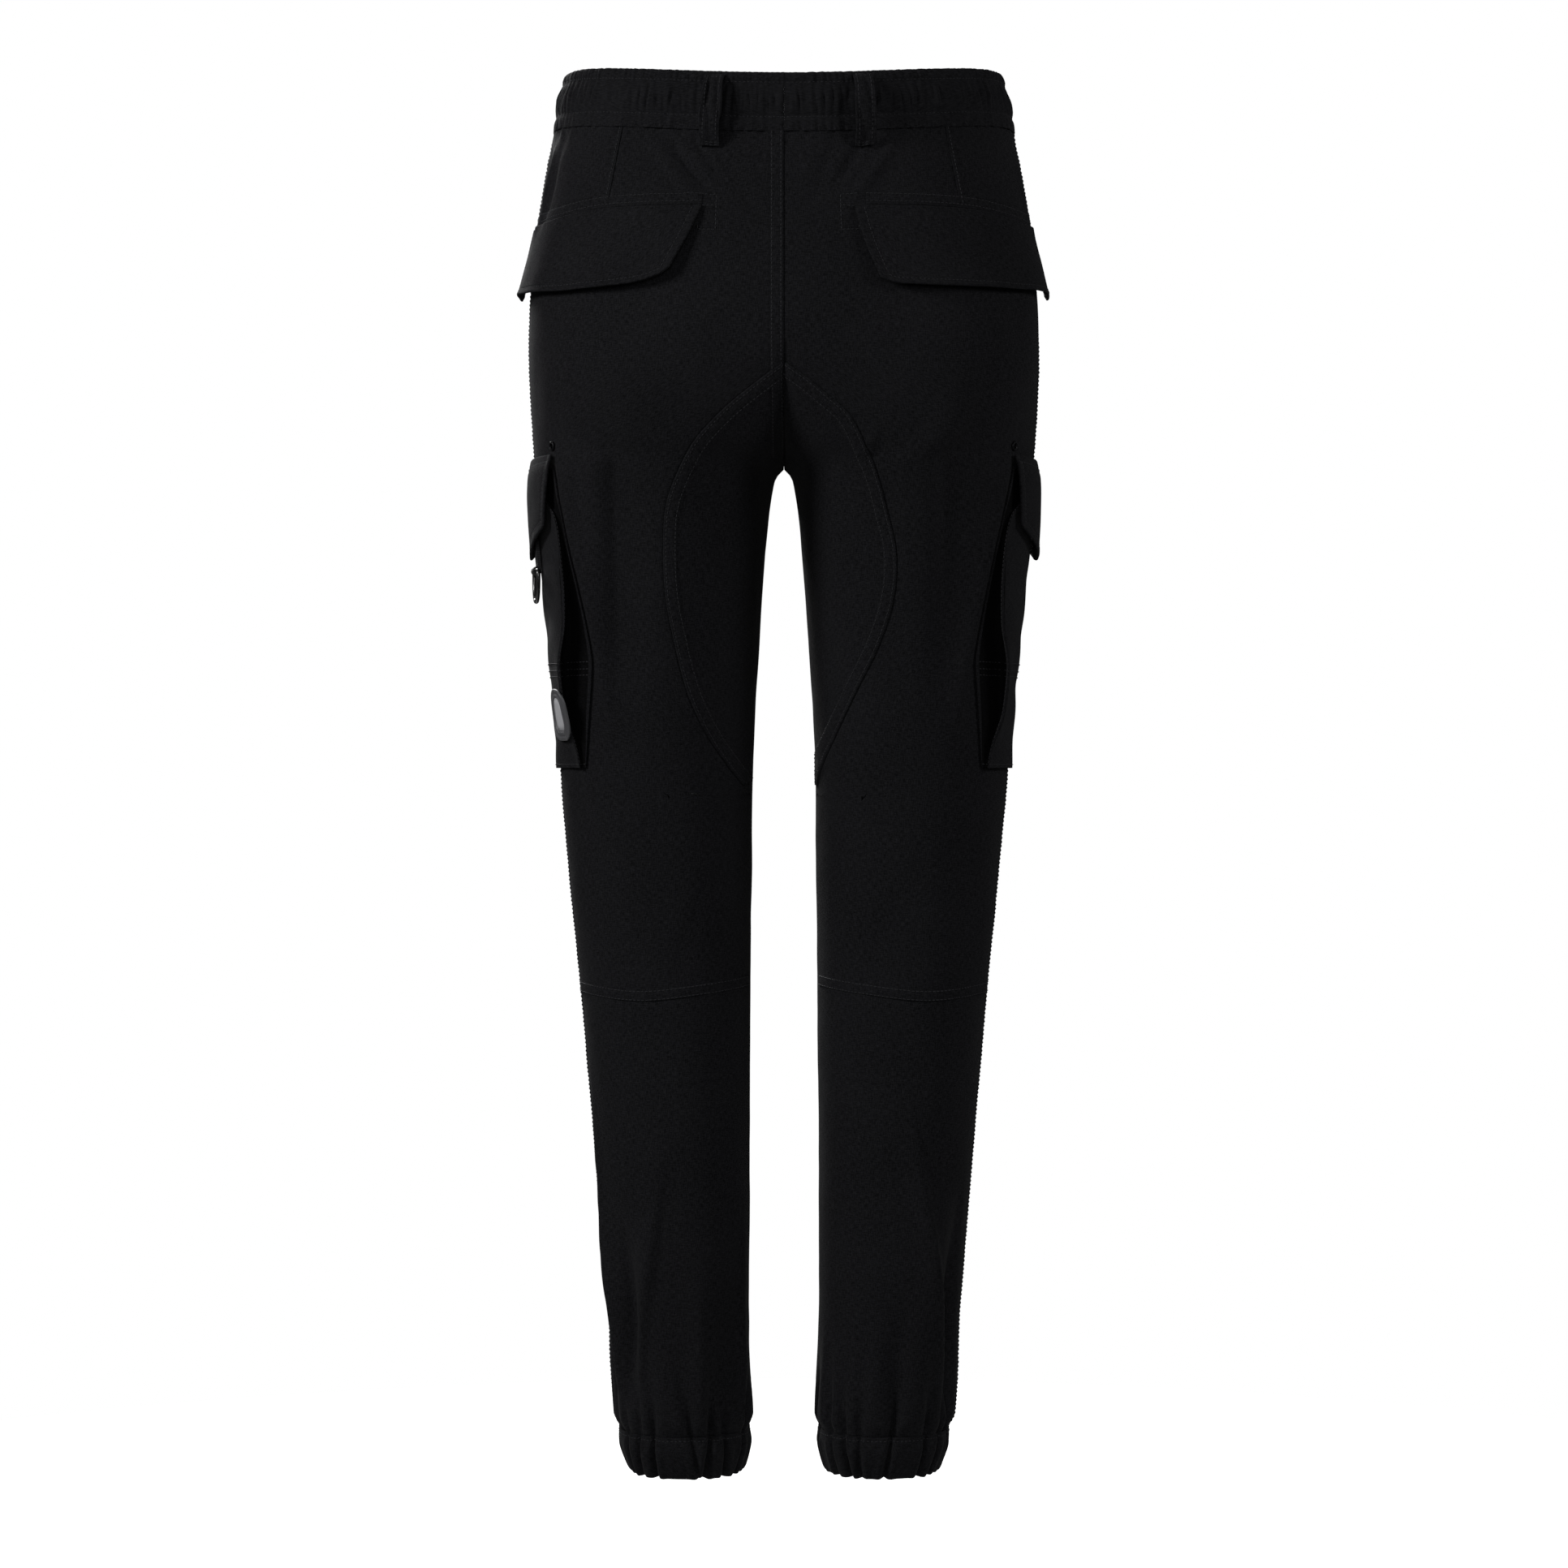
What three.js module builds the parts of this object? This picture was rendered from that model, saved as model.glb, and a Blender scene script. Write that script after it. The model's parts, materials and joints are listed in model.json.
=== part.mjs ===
// Elastic-waist cargo trousers with bellows thigh pockets, held in their worn, hollow form.
// Millimetres, +Z up. The wearer faces -Y, so the wearer's left is +X; the origin is the waist's centre.
import * as THREE from "three";

// Places on the cloth. A level is a height before the waist edge is dipped, and x a distance from the middle
// plane. u is the share of the way round one half of the trunk or one leg, by the tape: 0 at the centre-back
// seam or inseam, 0.5 at the side, 1 at the centre front or inseam.
const cloth = 1.2;
const seamGap = 0.3;
const crotchLevel = -270;
const riseHeight = 90;
const hipLevel = -140;
const legSquareness = 2.2;
const waistDip = { back: 16, front: 22, fadeFrom: -200, fadeOver: 180 };

const waistTop = 18;
const waistSeam = -23;
const cuffSeam = -976;
const hemLevel = -1007;

// Outline of one half: outer and inner are distances from the middle plane, depth is half front to back, and
// square is how far the trunk's section is from an ellipse (2) towards a box.
const sections = [
  { level: 20, outer: 159, inner: 0, depth: 110, centre: 0, square: 2.2 },
  { level: 0, outer: 164.5, inner: 0, depth: 112, centre: 0, square: 2.2 },
  { level: -22, outer: 169, inner: 0, depth: 113, centre: 0, square: 2.25 },
  { level: -60, outer: 176, inner: 0, depth: 117, centre: 2, square: 2.35 },
  { level: -110, outer: 183.2, inner: 0, depth: 122, centre: 4, square: 2.5 },
  { level: -180, outer: 187, inner: 0, depth: 125, centre: 6, square: 2.75 },
  { level: -230, outer: 185.5, inner: 0, depth: 121, centre: 7, square: 2.9 },
  { level: -270, outer: 183, inner: 0.2, depth: 113, centre: 6, square: 3 },
  { level: -275, outer: 182.6, inner: 5, depth: 112, centre: 6, square: 3 },
  { level: -286, outer: 181.8, inner: 8, depth: 109.5, centre: 5, square: 3 },
  { level: -307, outer: 180, inner: 11.1, depth: 105, centre: 4, square: 3 },
  { level: -355, outer: 175.5, inner: 15.3, depth: 98, centre: 2, square: 3 },
  { level: -403, outer: 170.8, inner: 18.3, depth: 92, centre: 0, square: 3 },
  { level: -451, outer: 166.8, inner: 21.3, depth: 87, centre: -1, square: 3 },
  { level: -499, outer: 164.2, inner: 23.1, depth: 82, centre: -2, square: 3 },
  { level: -571, outer: 158, inner: 23.8, depth: 76, centre: -3, square: 3 },
  { level: -667, outer: 148.3, inner: 24.9, depth: 71, centre: -3, square: 3 },
  { level: -763, outer: 140, inner: 25.5, depth: 67, centre: 1, square: 3 },
  { level: -859, outer: 131.5, inner: 25.6, depth: 62, centre: 5, square: 3 },
  { level: -931, outer: 125.2, inner: 26, depth: 58, centre: 8, square: 3 },
  { level: -984, outer: 119.4, inner: 26.5, depth: 54, centre: 8, square: 3 },
  { level: -1008, outer: 112, inner: 31, depth: 47, centre: 8, square: 3 },
];

// Seam lines. The leaf gusset's outer edge differs a little from leg to leg.
const gussetEdge = [
  { level: -205, left: 0.6, right: 0.6 },
  { level: -217, left: 17, right: 18 },
  { level: -228, left: 31, right: 31 },
  { level: -240, left: 45, right: 45 },
  { level: -260, left: 63.5, right: 56.5 },
  { level: -283, left: 76, right: 66.5 },
  { level: -306, left: 84, right: 73 },
  { level: -337, left: 86, right: 80 },
  { level: -370, left: 84.6, right: 78.5 },
  { level: -403, left: 78.3, right: 68.5 },
  { level: -438, left: 69.2, right: 52 },
  { level: -468, left: 55.5, right: 38 },
  { level: -493, left: 39, right: 27.5 },
  { level: -512, left: 24, right: 24 },
];
const yokeEdge = { top: 115, bottom: 126 };
const flapSeam = [
  { x: 0, level: -82 },
  { x: 57, level: -83 },
  { x: 126, level: -87 },
  { x: 175, level: -96 },
  { x: 188, level: -98 },
];
const kneeSeam = [
  { x: 25, level: -651 },
  { x: 55, level: -655 },
  { x: 104, level: -660 },
  { x: 148, level: -656 },
];

// Where the front panel's columns close up, so that they follow the crotch curve only inside this line.
const frontMiddle = [
  { level: -23, x: 62 },
  { level: -205, x: 64 },
  { level: -270, x: 72 },
  { level: -337, x: 82 },
  { level: -450, x: 80 },
  { level: -700, x: 76 },
  { level: -976, x: 68 },
];

// Largest folds, as soft ridges (height above 0) and troughs; lean is the shift in u for each 100 mm down.
const folds = [
  { side: 1, u: 0.42, level: -880, length: 190, width: 13, height: 3.6, lean: -0.004 },
  { side: 1, u: 0.36, level: -885, length: 170, width: 12, height: -3, lean: -0.01 },
  { side: 1, u: 0.29, level: -890, length: 200, width: 14, height: 3.2, lean: -0.012 },
  { side: 1, u: 0.1, level: -900, length: 150, width: 15, height: -2.4, lean: 0.02 },
  { side: 1, u: 0.63, level: -870, length: 190, width: 15, height: -3, lean: 0.008 },
  { side: 1, u: 0.8, level: -900, length: 160, width: 14, height: 2.6, lean: -0.01 },
  { side: 1, u: 0.74, level: -655, length: 210, width: 20, height: -3.2, lean: 0.08 },
  { side: 1, u: 0.36, level: -560, length: 210, width: 18, height: -2.4, lean: -0.03 },
  { side: 1, u: 0.8, level: -370, length: 150, width: 20, height: -3, lean: -0.08 },
  { side: 1, u: 0.33, level: -150, length: 110, width: 16, height: -2, lean: 0.02 },
  { side: -1, u: 0.33, level: -880, length: 200, width: 14, height: 3.4, lean: -0.01 },
  { side: -1, u: 0.41, level: -890, length: 190, width: 13, height: -3.2, lean: -0.006 },
  { side: -1, u: 0.15, level: -920, length: 120, width: 12, height: -2.8, lean: 0.03 },
  { side: -1, u: 0.6, level: -880, length: 180, width: 15, height: 2.8, lean: 0.01 },
  { side: -1, u: 0.78, level: -890, length: 170, width: 15, height: -3, lean: -0.012 },
  { side: -1, u: 0.7, level: -665, length: 190, width: 20, height: -3, lean: -0.07 },
  { side: -1, u: 0.34, level: -570, length: 190, width: 18, height: -2.2, lean: 0.03 },
  { side: -1, u: 0.78, level: -375, length: 140, width: 20, height: -2.8, lean: -0.08 },
  { side: -1, u: 0.34, level: -155, length: 110, width: 16, height: -2, lean: 0.02 },
];

// Gathered waistband: each row's height above the cloth, and how far its gathers swell.
const waistband = {
  gathers: 48,
  perGather: 3,
  uneven: 0.25,
  unevenTurn: 0.37,
  wall: 2.6,
  rows: [
    { level: waistTop, rise: 0.2, swell: 0.3 },
    { level: 14, rise: 1.3, swell: 0.5 },
    { level: -2, rise: 1.6, swell: 1.1 },
    { level: -13.5, rise: 1, swell: 0.5 },
    { level: waistSeam + seamGap / 2, rise: 1.2, swell: 0.6 },
  ],
};
const cuff = {
  gathers: 18,
  perGather: 4,
  uneven: 0.3,
  unevenTurn: 1.3,
  wall: 1.6,
  rows: [
    { level: cuffSeam - seamGap / 2, rise: 0.8, groove: 1.6 },
    { level: -985, rise: 1.3, groove: 2.6 },
    { level: -997, rise: 1, groove: 2.8 },
    { level: hemLevel, rise: 0.2, groove: 2.2 },
  ],
};

const beltLoop = {
  cells: [2, 8],
  width: 14,
  top: 15,
  bottom: -37,
  ply: 1.8,
  lift: [
    { along: 0, off: 2.7 },
    { along: 0.14, off: 7.2 },
    { along: 0.45, off: 9.2 },
    { along: 0.78, off: 6.6 },
    { along: 1, off: 0.35 },
  ],
};
const beltLoops = [
  { name: "belt_loop_back_l", side: 1, front: false, topX: 48.5, bottomX: 53 },
  { name: "belt_loop_back_r", side: -1, front: false, topX: 55, bottomX: 57.5 },
  { name: "belt_loop_front_l", side: 1, front: true, topX: 74, bottomX: 76 },
  { name: "belt_loop_front_r", side: -1, front: true, topX: 74, bottomX: 76 },
];

const backFlap = {
  cells: [12, 5],
  ply: 2,
  outerU: 0.53,
  topBelowSeam: 1.5,
  innerEdge: [
    { level: -82, left: 57, right: 49 },
    { level: -104, left: 65.4, right: 54 },
    { level: -118, left: 71.5, right: 58 },
    { level: -132, left: 78, right: 63 },
    { level: -146, left: 84, right: 68 },
  ],
  bottom: [
    { x: 66, left: -124, right: -143 },
    { x: 78, left: -134, right: -148 },
    { x: 88, left: -142, right: -149 },
    { x: 109, left: -148.5, right: -150 },
    { x: 149, left: -151, right: -149.5 },
    { x: 180, left: -148, right: -146.5 },
    { x: 187, left: -144.5, right: -144 },
  ],
  liftTop: 0.8,
  liftBottom: 5.4,
  curl: 1.4,
  flare: 2.6,
};

// Thigh pocket: the bag's edges stand off the leg by edgeLift and are joined to it by folded bellows.
const cargo = {
  ply: 1.2,
  crossSeam: -417,
  faceCells: 8,
  faceLift: 2.1,
  attachLift: 0.7,
  tuck: 0.85,
  edgeCurl: 3,
  sharpestBend: 0.75,
  upperRows: [-276, -300, -325, -354, -387],
  lowerRows: [-434, -454, -475, -491],
  rows: [
    { level: -276, attachX: 157, foldX: 164, edgeLift: 2.6 },
    { level: -300, attachX: 153, foldX: 160, edgeLift: 3.2 },
    { level: -325, attachX: 147, foldX: 153, edgeLift: 4.6 },
    { level: -354, attachX: 142.5, foldX: 149.5, edgeLift: 8.4 },
    { level: -387, attachX: 136.5, foldX: 146.5, edgeLift: 12.4 },
    { level: -411, attachX: 133.5, foldX: 148, edgeLift: 14.6 },
    { level: -424, attachX: 133.5, foldX: 148, edgeLift: 14.4 },
    { level: -450, attachX: 136, foldX: 147.5, edgeLift: 10.2 },
    { level: -475, attachX: 138.5, foldX: 144.5, edgeLift: 5 },
    { level: -491, attachX: 139.5, foldX: 143.5, edgeLift: 2.7 },
  ],
};
const cargoFlap = {
  cells: [8, 5],
  ply: 2,
  backX: 163,
  top: -266,
  sideBottom: -316,
  midBottom: -337,
  point: 1.6,
  lift: [
    { along: 0, off: 0.8 },
    { along: 0.2, off: 4.6 },
    { along: 0.6, off: 7 },
    { along: 1, off: 8.2 },
  ],
};
const eyelet = {
  x: 160,
  level: -261,
  bore: 2,
  rim: 4.2,
  height: 1.3,
  outerHeight: 0.65,
  lipHeight: 0.8,
  stand: 0.45,
  segments: 14,
};

// Webbing tab and D-ring of the left thigh pocket. The ring's bar turns in the eye of the tab.
const ringTab = {
  x: 176.8,
  top: -319,
  length: 31,
  width: 15,
  ply: 2.4,
  eyeWall: 1.2,
  stand: 3.9,
  eyeSegments: 10,
};
const ring = {
  stock: 3.3,
  halfWidth: 13.4,
  depth: 24,
  corner: 3.4,
  shoulder: 0.75,
  belly: 0.55,
  play: 0.35,
  steps: 30,
  sides: 8,
};

// Rubber badge near the back edge of the left bag: concentric raised rims round a bare face.
const badge = {
  x: 153.5,
  level: -452,
  halfWidth: 14.5,
  halfHeight: 19,
  power: 3.4,
  around: 20,
  stand: 0.45,
  rings: [
    { scale: 1, height: 0 },
    { scale: 1, height: 1.9 },
    { scale: 0.93, height: 2.5 },
    { scale: 0.82, height: 2.5 },
    { scale: 0.77, height: 1.7 },
    { scale: 0.66, height: 2.1 },
    { scale: 0.6, height: 1.5 },
  ],
};

// Levels of the rows that all leg panels share, so that neighbours meet point for point.
const trunkRows = [-112, -145, -180, -205, -222, -240, -254, -263, -268, -270];
const thighRows = [-277, -288, -306, -328, -352, -376, -400, -424, -448, -470, -492, -512];
const kneeRows = [-545, -582, -620];
const calfRows = [-700, -742, -784, -822, -856, -888, -914, -938, -958];
const gussetTopRow = 3;
const yokeSteps = 3;
const yokeShare = 0.45;
const panelCells = { backInner: 4, backOuter: 4, gusset: 3, lower: 9, frontOuter: 5, frontInner: 4 };
const seekPasses = 5;

const colours = { cloth: 0x121213, webbing: 0x141415, ring: 0x0a0a0b, badge: 0x1b1b1d, metal: 0x8b8c8e };

// Smooth reading of a table at a value of its first column.
function read(table, key, column, at) {
  const last = table.length - 1;
  const falling = table[0][key] > table[last][key];
  const before = (row) => (falling ? row[key] >= at : row[key] <= at);
  let i = 0;
  while (i < last - 1 && before(table[i + 1])) i += 1;
  const a = table[i];
  const b = table[i + 1];
  const p = table[Math.max(i - 1, 0)];
  const q = table[Math.min(i + 2, last)];
  const span = b[key] - a[key];
  const t = THREE.MathUtils.clamp((at - a[key]) / span, 0, 1);
  const startSlope = ((b[column] - p[column]) / (b[key] - p[key])) * span;
  const endSlope = ((q[column] - a[column]) / (q[key] - a[key])) * span;
  const square = t * t;
  const cube = square * t;
  return (
    a[column] * (2 * cube - 3 * square + 1) +
    startSlope * (cube - 2 * square + t) +
    b[column] * (3 * square - 2 * cube) +
    endSlope * (cube - square)
  );
}

const mix = (a, b, t) => a + (b - a) * t;
const rounded = (value, squareness) => Math.sign(value) * Math.abs(value) ** (2 / squareness);

// How far a level is from separate leg (0) to whole trunk (1), along an elliptical crotch curve.
function trunkShare(level) {
  const up = THREE.MathUtils.clamp((level - crotchLevel) / riseHeight, 0, 1);
  return Math.sqrt(1 - (1 - up) ** 2);
}

// The back half of a level's section, from the middle plane or inseam to the side, with lengths by the tape.
// Its depth at each x is between a leg's ring and half of the trunk, and the trunk's own section passes from
// one that wraps both legs at the crotch to a squarish ellipse at the hips.
const sectionSteps = 64;
const knownSections = new Map();

function sectionAt(level) {
  const key = level.toFixed(4);
  if (knownSections.has(key)) return knownSections.get(key);
  const at = (column) => read(sections, "level", column, level);
  const [outer, inner, depth, centre, square] = ["outer", "inner", "depth", "centre", "square"].map(at);
  const share = trunkShare(level);
  const points = [];
  let length = 0;
  for (let step = 0; step <= sectionSteps; step += 1) {
    const turn = (Math.PI * step) / sectionSteps;
    const x = mix(Math.max(inner, 0), outer, (1 - rounded(Math.cos(turn), legSquareness)) / 2);
    const ringY = depth * rounded(Math.sin(turn), legSquareness);
    const wrapY = step < sectionSteps / 2 ? depth : ringY;
    const ovalY = depth * Math.max(1 - (x / outer) ** square, 0) ** (1 / square);
    const trunkY = mix(wrapY, ovalY, THREE.MathUtils.smoothstep(level, crotchLevel, hipLevel));
    const y = mix(ringY, trunkY, share);
    if (step > 0) length += Math.hypot(x - points[step - 1].x, y - points[step - 1].y);
    points.push({ x, y, length });
  }
  const section = { points, length, centre, outer };
  knownSections.set(key, section);
  return section;
}

// The point of a section where a column has a value: length for a share of the way round, x for a distance.
function crossing(points, column, value) {
  let i = 0;
  while (i < points.length - 2 && points[i + 1][column] < value) i += 1;
  const [a, b] = [points[i], points[i + 1]];
  const t = THREE.MathUtils.clamp((value - a[column]) / (b[column] - a[column]), 0, 1);
  return { x: mix(a.x, b.x, t), y: mix(a.y, b.y, t), length: mix(a.length, b.length, t) };
}

function backU(x, level) {
  const { points, length } = sectionAt(level);
  return (0.5 * crossing(points, "x", x).length) / length;
}

function bodyPoint(u, level) {
  const { points, length, centre, outer } = sectionAt(level);
  const half = Math.min(u, 1 - u);
  const { x, y } = crossing(points, "length", 2 * half * length);
  const fade = THREE.MathUtils.smoothstep(level, waistDip.fadeFrom, waistDip.fadeFrom + waistDip.fadeOver);
  const dip = u < 0.5 ? waistDip.back : waistDip.front;
  const z = level - dip * fade * (1 - Math.min((x / outer) ** 2, 1));
  return new THREE.Vector3(x, centre + (u < 0.5 ? y : -y), z);
}

const probe = { u: 0.004, level: 1.5 };

function bodyFrame(u, level) {
  const [from, to] = [Math.max(u - probe.u, 0), Math.min(u + probe.u, 1)];
  const across = bodyPoint(to, level).sub(bodyPoint(from, level));
  const up = bodyPoint(u, level + probe.level).sub(bodyPoint(u, level - probe.level));
  const normal = new THREE.Vector3().crossVectors(up, across).normalize();
  return { normal, perU: across.length() / (to - from) };
}

function foldHeight(u, level, side) {
  let height = 0;
  for (const fold of folds) {
    const along = (2 * (level - fold.level)) / fold.length;
    if (fold.side !== side || Math.abs(along) >= 1) continue;
    const middle = fold.u - (fold.lean * (level - fold.level)) / 100;
    const across = ((u - middle) * bodyFrame(u, level).perU) / fold.width;
    height += fold.height * (1 - along * along) ** 2 * Math.exp(-across * across);
  }
  return height;
}

// A point of one half, lifted off the cloth's outer face and kept clear of the middle plane.
function halfPoint(u, level, off, side) {
  const lift = off + foldHeight(u, level, side);
  const point = bodyPoint(u, level).addScaledVector(bodyFrame(u, level).normal, lift);
  point.x = Math.max(point.x, seamGap / 2) * side;
  return point;
}

// A closed wall on a grid of cells. place(i, j, toU, toLevel) gives the outer and inner point of a corner;
// toU and toLevel say which way it is set back from an open edge.
function wall(columns, rows, place, options = {}) {
  const { around = false, present = () => true } = options;
  const wrap = (i) => (around ? (i + columns) % columns : i);
  const has = (i, j) => {
    if (j < 0 || j >= rows) return 0;
    if (!around && (i < 0 || i >= columns)) return 0;
    return present(wrap(i), j) ? 1 : 0;
  };
  const corners = new Map();
  const positions = [];
  const corner = (i, j) => {
    const key = wrap(i) + "," + j;
    if (!corners.has(key)) {
      const left = has(i - 1, j - 1) + has(i - 1, j);
      const right = has(i, j - 1) + has(i, j);
      const above = has(i - 1, j - 1) + has(i, j - 1);
      const below = has(i - 1, j) + has(i, j);
      const pair = place(wrap(i), j, Math.sign(right - left), Math.sign(above - below));
      corners.set(key, positions.length / 3);
      positions.push(...pair.outer, ...pair.inner);
    }
    return corners.get(key);
  };
  const index = [];
  const quad = (a, b, c, d) => index.push(a, b, c, a, c, d);
  for (let j = 0; j < rows; j += 1) {
    for (let i = 0; i < columns; i += 1) {
      if (!has(i, j)) continue;
      const a = corner(i, j);
      const b = corner(i + 1, j);
      const c = corner(i + 1, j + 1);
      const d = corner(i, j + 1);
      quad(a, d, c, b);
      quad(a + 1, b + 1, c + 1, d + 1);
      if (!has(i, j - 1)) quad(a, b, b + 1, a + 1);
      if (!has(i, j + 1)) quad(c, d, d + 1, c + 1);
      if (!has(i - 1, j)) quad(d, a, a + 1, d + 1);
      if (!has(i + 1, j)) quad(b, c, c + 1, b + 1);
    }
  }
  return closedGeometry(positions, index);
}

// Turns the faces out if they point in.
function closedGeometry(positions, index) {
  let volume = 0;
  const [a, b, c] = [new THREE.Vector3(), new THREE.Vector3(), new THREE.Vector3()];
  for (let i = 0; i < index.length; i += 3) {
    a.fromArray(positions, index[i] * 3);
    b.fromArray(positions, index[i + 1] * 3);
    c.fromArray(positions, index[i + 2] * 3);
    volume += a.dot(b.cross(c));
  }
  if (volume < 0) index.reverse();
  const geometry = new THREE.BufferGeometry();
  geometry.setAttribute("position", new THREE.Float32BufferAttribute(positions, 3));
  geometry.setIndex(index);
  geometry.computeVertexNormals();
  return geometry;
}

const trousers = new THREE.Group();

const clothFinish = { color: colours.cloth, roughness: 0.85, metalness: 0 };

function add(name, geometry, finish = clothFinish) {
  const mesh = new THREE.Mesh(geometry, new THREE.MeshStandardMaterial(finish));
  mesh.name = name;
  trousers.add(mesh);
  return mesh;
}

const seamLevel = (table, x) => read(table, "x", "level", x);
const sideColumn = (side) => (side > 0 ? "left" : "right");
const gussetU = (level, side) => backU(read(gussetEdge, "level", sideColumn(side), level), level);

// The rows of a panel as functions of x, from one named line to another.
const yokeRows = Array.from({ length: yokeSteps + 1 }, (unused, step) => (x) =>
  mix(waistSeam, seamLevel(flapSeam, x), step / yokeSteps),
);
const levelRows = (levels) => levels.map((level) => () => level);
const upperRows = [
  ...yokeRows,
  ...levelRows([...trunkRows, ...thighRows, ...kneeRows]),
  (x) => seamLevel(kneeSeam, x),
];
const lowerRows = [(x) => seamLevel(kneeSeam, x), ...levelRows(calfRows), () => cuffSeam];
const flapRow = yokeSteps;
const gussetRows = levelRows([...trunkRows.slice(gussetTopRow), ...thighRows]);

// A cloth panel: lines are functions of level that its columns run between, with the cells in each span.
function panel(side, lines, cells, rows, present) {
  const columns = cells.reduce((sum, count) => sum + count, 0);
  const columnU = (i, level) => {
    let span = 0;
    let from = 0;
    while (span < cells.length - 1 && i > from + cells[span]) {
      from += cells[span];
      span += 1;
    }
    return mix(lines[span](level), lines[span + 1](level), (i - from) / cells[span]);
  };
  const place = (i, j, toU, toLevel) => {
    let level = rows[j](sections[0].outer / 2);
    let u = columnU(i, level);
    for (let pass = 0; pass < seekPasses; pass += 1) {
      level = rows[j](bodyPoint(u, level).x);
      u = columnU(i, level);
    }
    const { perU } = bodyFrame(u, level);
    const drift = columnU(i, level + probe.level) - columnU(i, level - probe.level);
    const slant = (perU * drift) / (2 * probe.level);
    u += (toU * seamGap * Math.hypot(1, slant)) / 2 / perU;
    level += (toLevel * seamGap) / 2;
    return {
      outer: halfPoint(u, level, 0, side).toArray(),
      inner: halfPoint(u, level, -cloth, side).toArray(),
    };
  };
  return wall(columns, rows.length - 1, place, { present });
}

const constant = (value) => () => value;
const sideName = (side) => (side > 0 ? "l" : "r");

function bodyPanels(side) {
  const name = sideName(side);
  const hasGusset = (level) => level <= gussetEdge[0].level && level >= gussetEdge.at(-1).level;
  const backEdge = (level) => (hasGusset(level) ? gussetU(level, side) : 0);
  const yokeU = (level) => {
    const down = THREE.MathUtils.clamp((waistSeam - level) / (waistSeam - flapSeam[2].level), 0, 1);
    const own = backU(mix(yokeEdge.top, yokeEdge.bottom, down), level);
    return Math.max(own, mix(backEdge(level), 0.5, yokeShare));
  };
  const { backInner, backOuter, gusset, lower, frontOuter, frontInner } = panelCells;
  const backLines = [backEdge, yokeU, constant(0.5)];
  const present = (i, j) => i < backInner || j >= flapRow;
  add("back_upper_" + name, panel(side, backLines, [backInner, backOuter], upperRows, present));
  add("back_yoke_" + name, panel(side, [yokeU, constant(0.5)], [backOuter], yokeRows));
  add("gusset_" + name, panel(side, [constant(0), (level) => gussetU(level, side)], [gusset], gussetRows));
  add("back_lower_" + name, panel(side, [constant(0), constant(0.5)], [lower], lowerRows));
  const middle = (level) => 1 - backU(read(frontMiddle, "level", "x", level), level);
  const frontRows = [...upperRows, ...lowerRows.slice(1)];
  const frontLines = [constant(0.5), middle, constant(1)];
  add("front_" + name, panel(side, frontLines, [frontOuter, frontInner], frontRows));
}

// The whole waist, centre back round by the left side.
function waistbandTube() {
  const columns = waistband.gathers * waistband.perGather;
  const place = (i, j) => {
    const turn = (2 * i) / columns;
    const side = turn <= 1 ? 1 : -1;
    const u = turn <= 1 ? turn : 2 - turn;
    const row = waistband.rows[j];
    const share = 1 - waistband.uneven * (1 - Math.sin(i * waistband.unevenTurn));
    const swell = row.swell * share * (i % waistband.perGather === 0 ? -1 : 1);
    const { normal } = bodyFrame(u, row.level);
    const at = (off) => {
      const point = bodyPoint(u, row.level).addScaledVector(normal, off);
      return [point.x * side, point.y, point.z];
    };
    return { outer: at(row.rise + swell), inner: at(row.rise + swell - waistband.wall) };
  };
  add("waistband", wall(columns, waistband.rows.length - 1, place, { around: true }));
}

function cuffTube(side) {
  const columns = cuff.gathers * cuff.perGather;
  const place = (i, j) => {
    const row = cuff.rows[j];
    const u = i / columns;
    const share = 1 - cuff.uneven * (1 - Math.sin(i * cuff.unevenTurn + side));
    const off = row.rise - (i % cuff.perGather === 0 ? row.groove * share : 0);
    const at = (lift) => {
      const point = bodyPoint(u, row.level).addScaledVector(bodyFrame(u, row.level).normal, lift);
      return [point.x * side, point.y, point.z];
    };
    return { outer: at(off), inner: at(off - cuff.wall) };
  };
  add("cuff_" + sideName(side), wall(columns, cuff.rows.length - 1, place, { around: true }));
}

// A strip or flap that lies on the body: lift gives the inner face's height above the cloth.
function overlay(name, side, [columns, rows], ply, where) {
  const place = (i, j) => {
    const { u, level, lift } = where(i / columns, j / rows);
    return {
      outer: halfPoint(u, level, lift + ply, side).toArray(),
      inner: halfPoint(u, level, lift, side).toArray(),
    };
  };
  return add(name, wall(columns, rows, place));
}

function addBeltLoops() {
  for (const { name, side, front, topX, bottomX } of beltLoops) {
    overlay(name, side, beltLoop.cells, beltLoop.ply, (across, along) => {
      const level = mix(beltLoop.top, beltLoop.bottom, along);
      const middle = backU(mix(topX, bottomX, along), level);
      const u = middle + ((across - 0.5) * beltLoop.width) / bodyFrame(middle, level).perU;
      return { u: front ? 1 - u : u, level, lift: read(beltLoop.lift, "along", "off", along) };
    });
  }
}

function addBackFlap(side) {
  const column = sideColumn(side);
  overlay("back_flap_" + sideName(side), side, backFlap.cells, backFlap.ply, (across, along) => {
    let level = backFlap.innerEdge[0].level;
    let u = 0;
    for (let pass = 0; pass < seekPasses; pass += 1) {
      u = mix(backU(read(backFlap.innerEdge, "level", column, level), level), backFlap.outerU, across);
      const { x } = bodyPoint(u, level);
      const top = seamLevel(flapSeam, x) - backFlap.topBelowSeam;
      level = mix(top, read(backFlap.bottom, "x", column, x), along);
    }
    const lift = mix(backFlap.liftTop, backFlap.liftBottom, along ** backFlap.curl);
    return { u, level, lift: lift + backFlap.flare * along * across ** 2 };
  });
}

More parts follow.
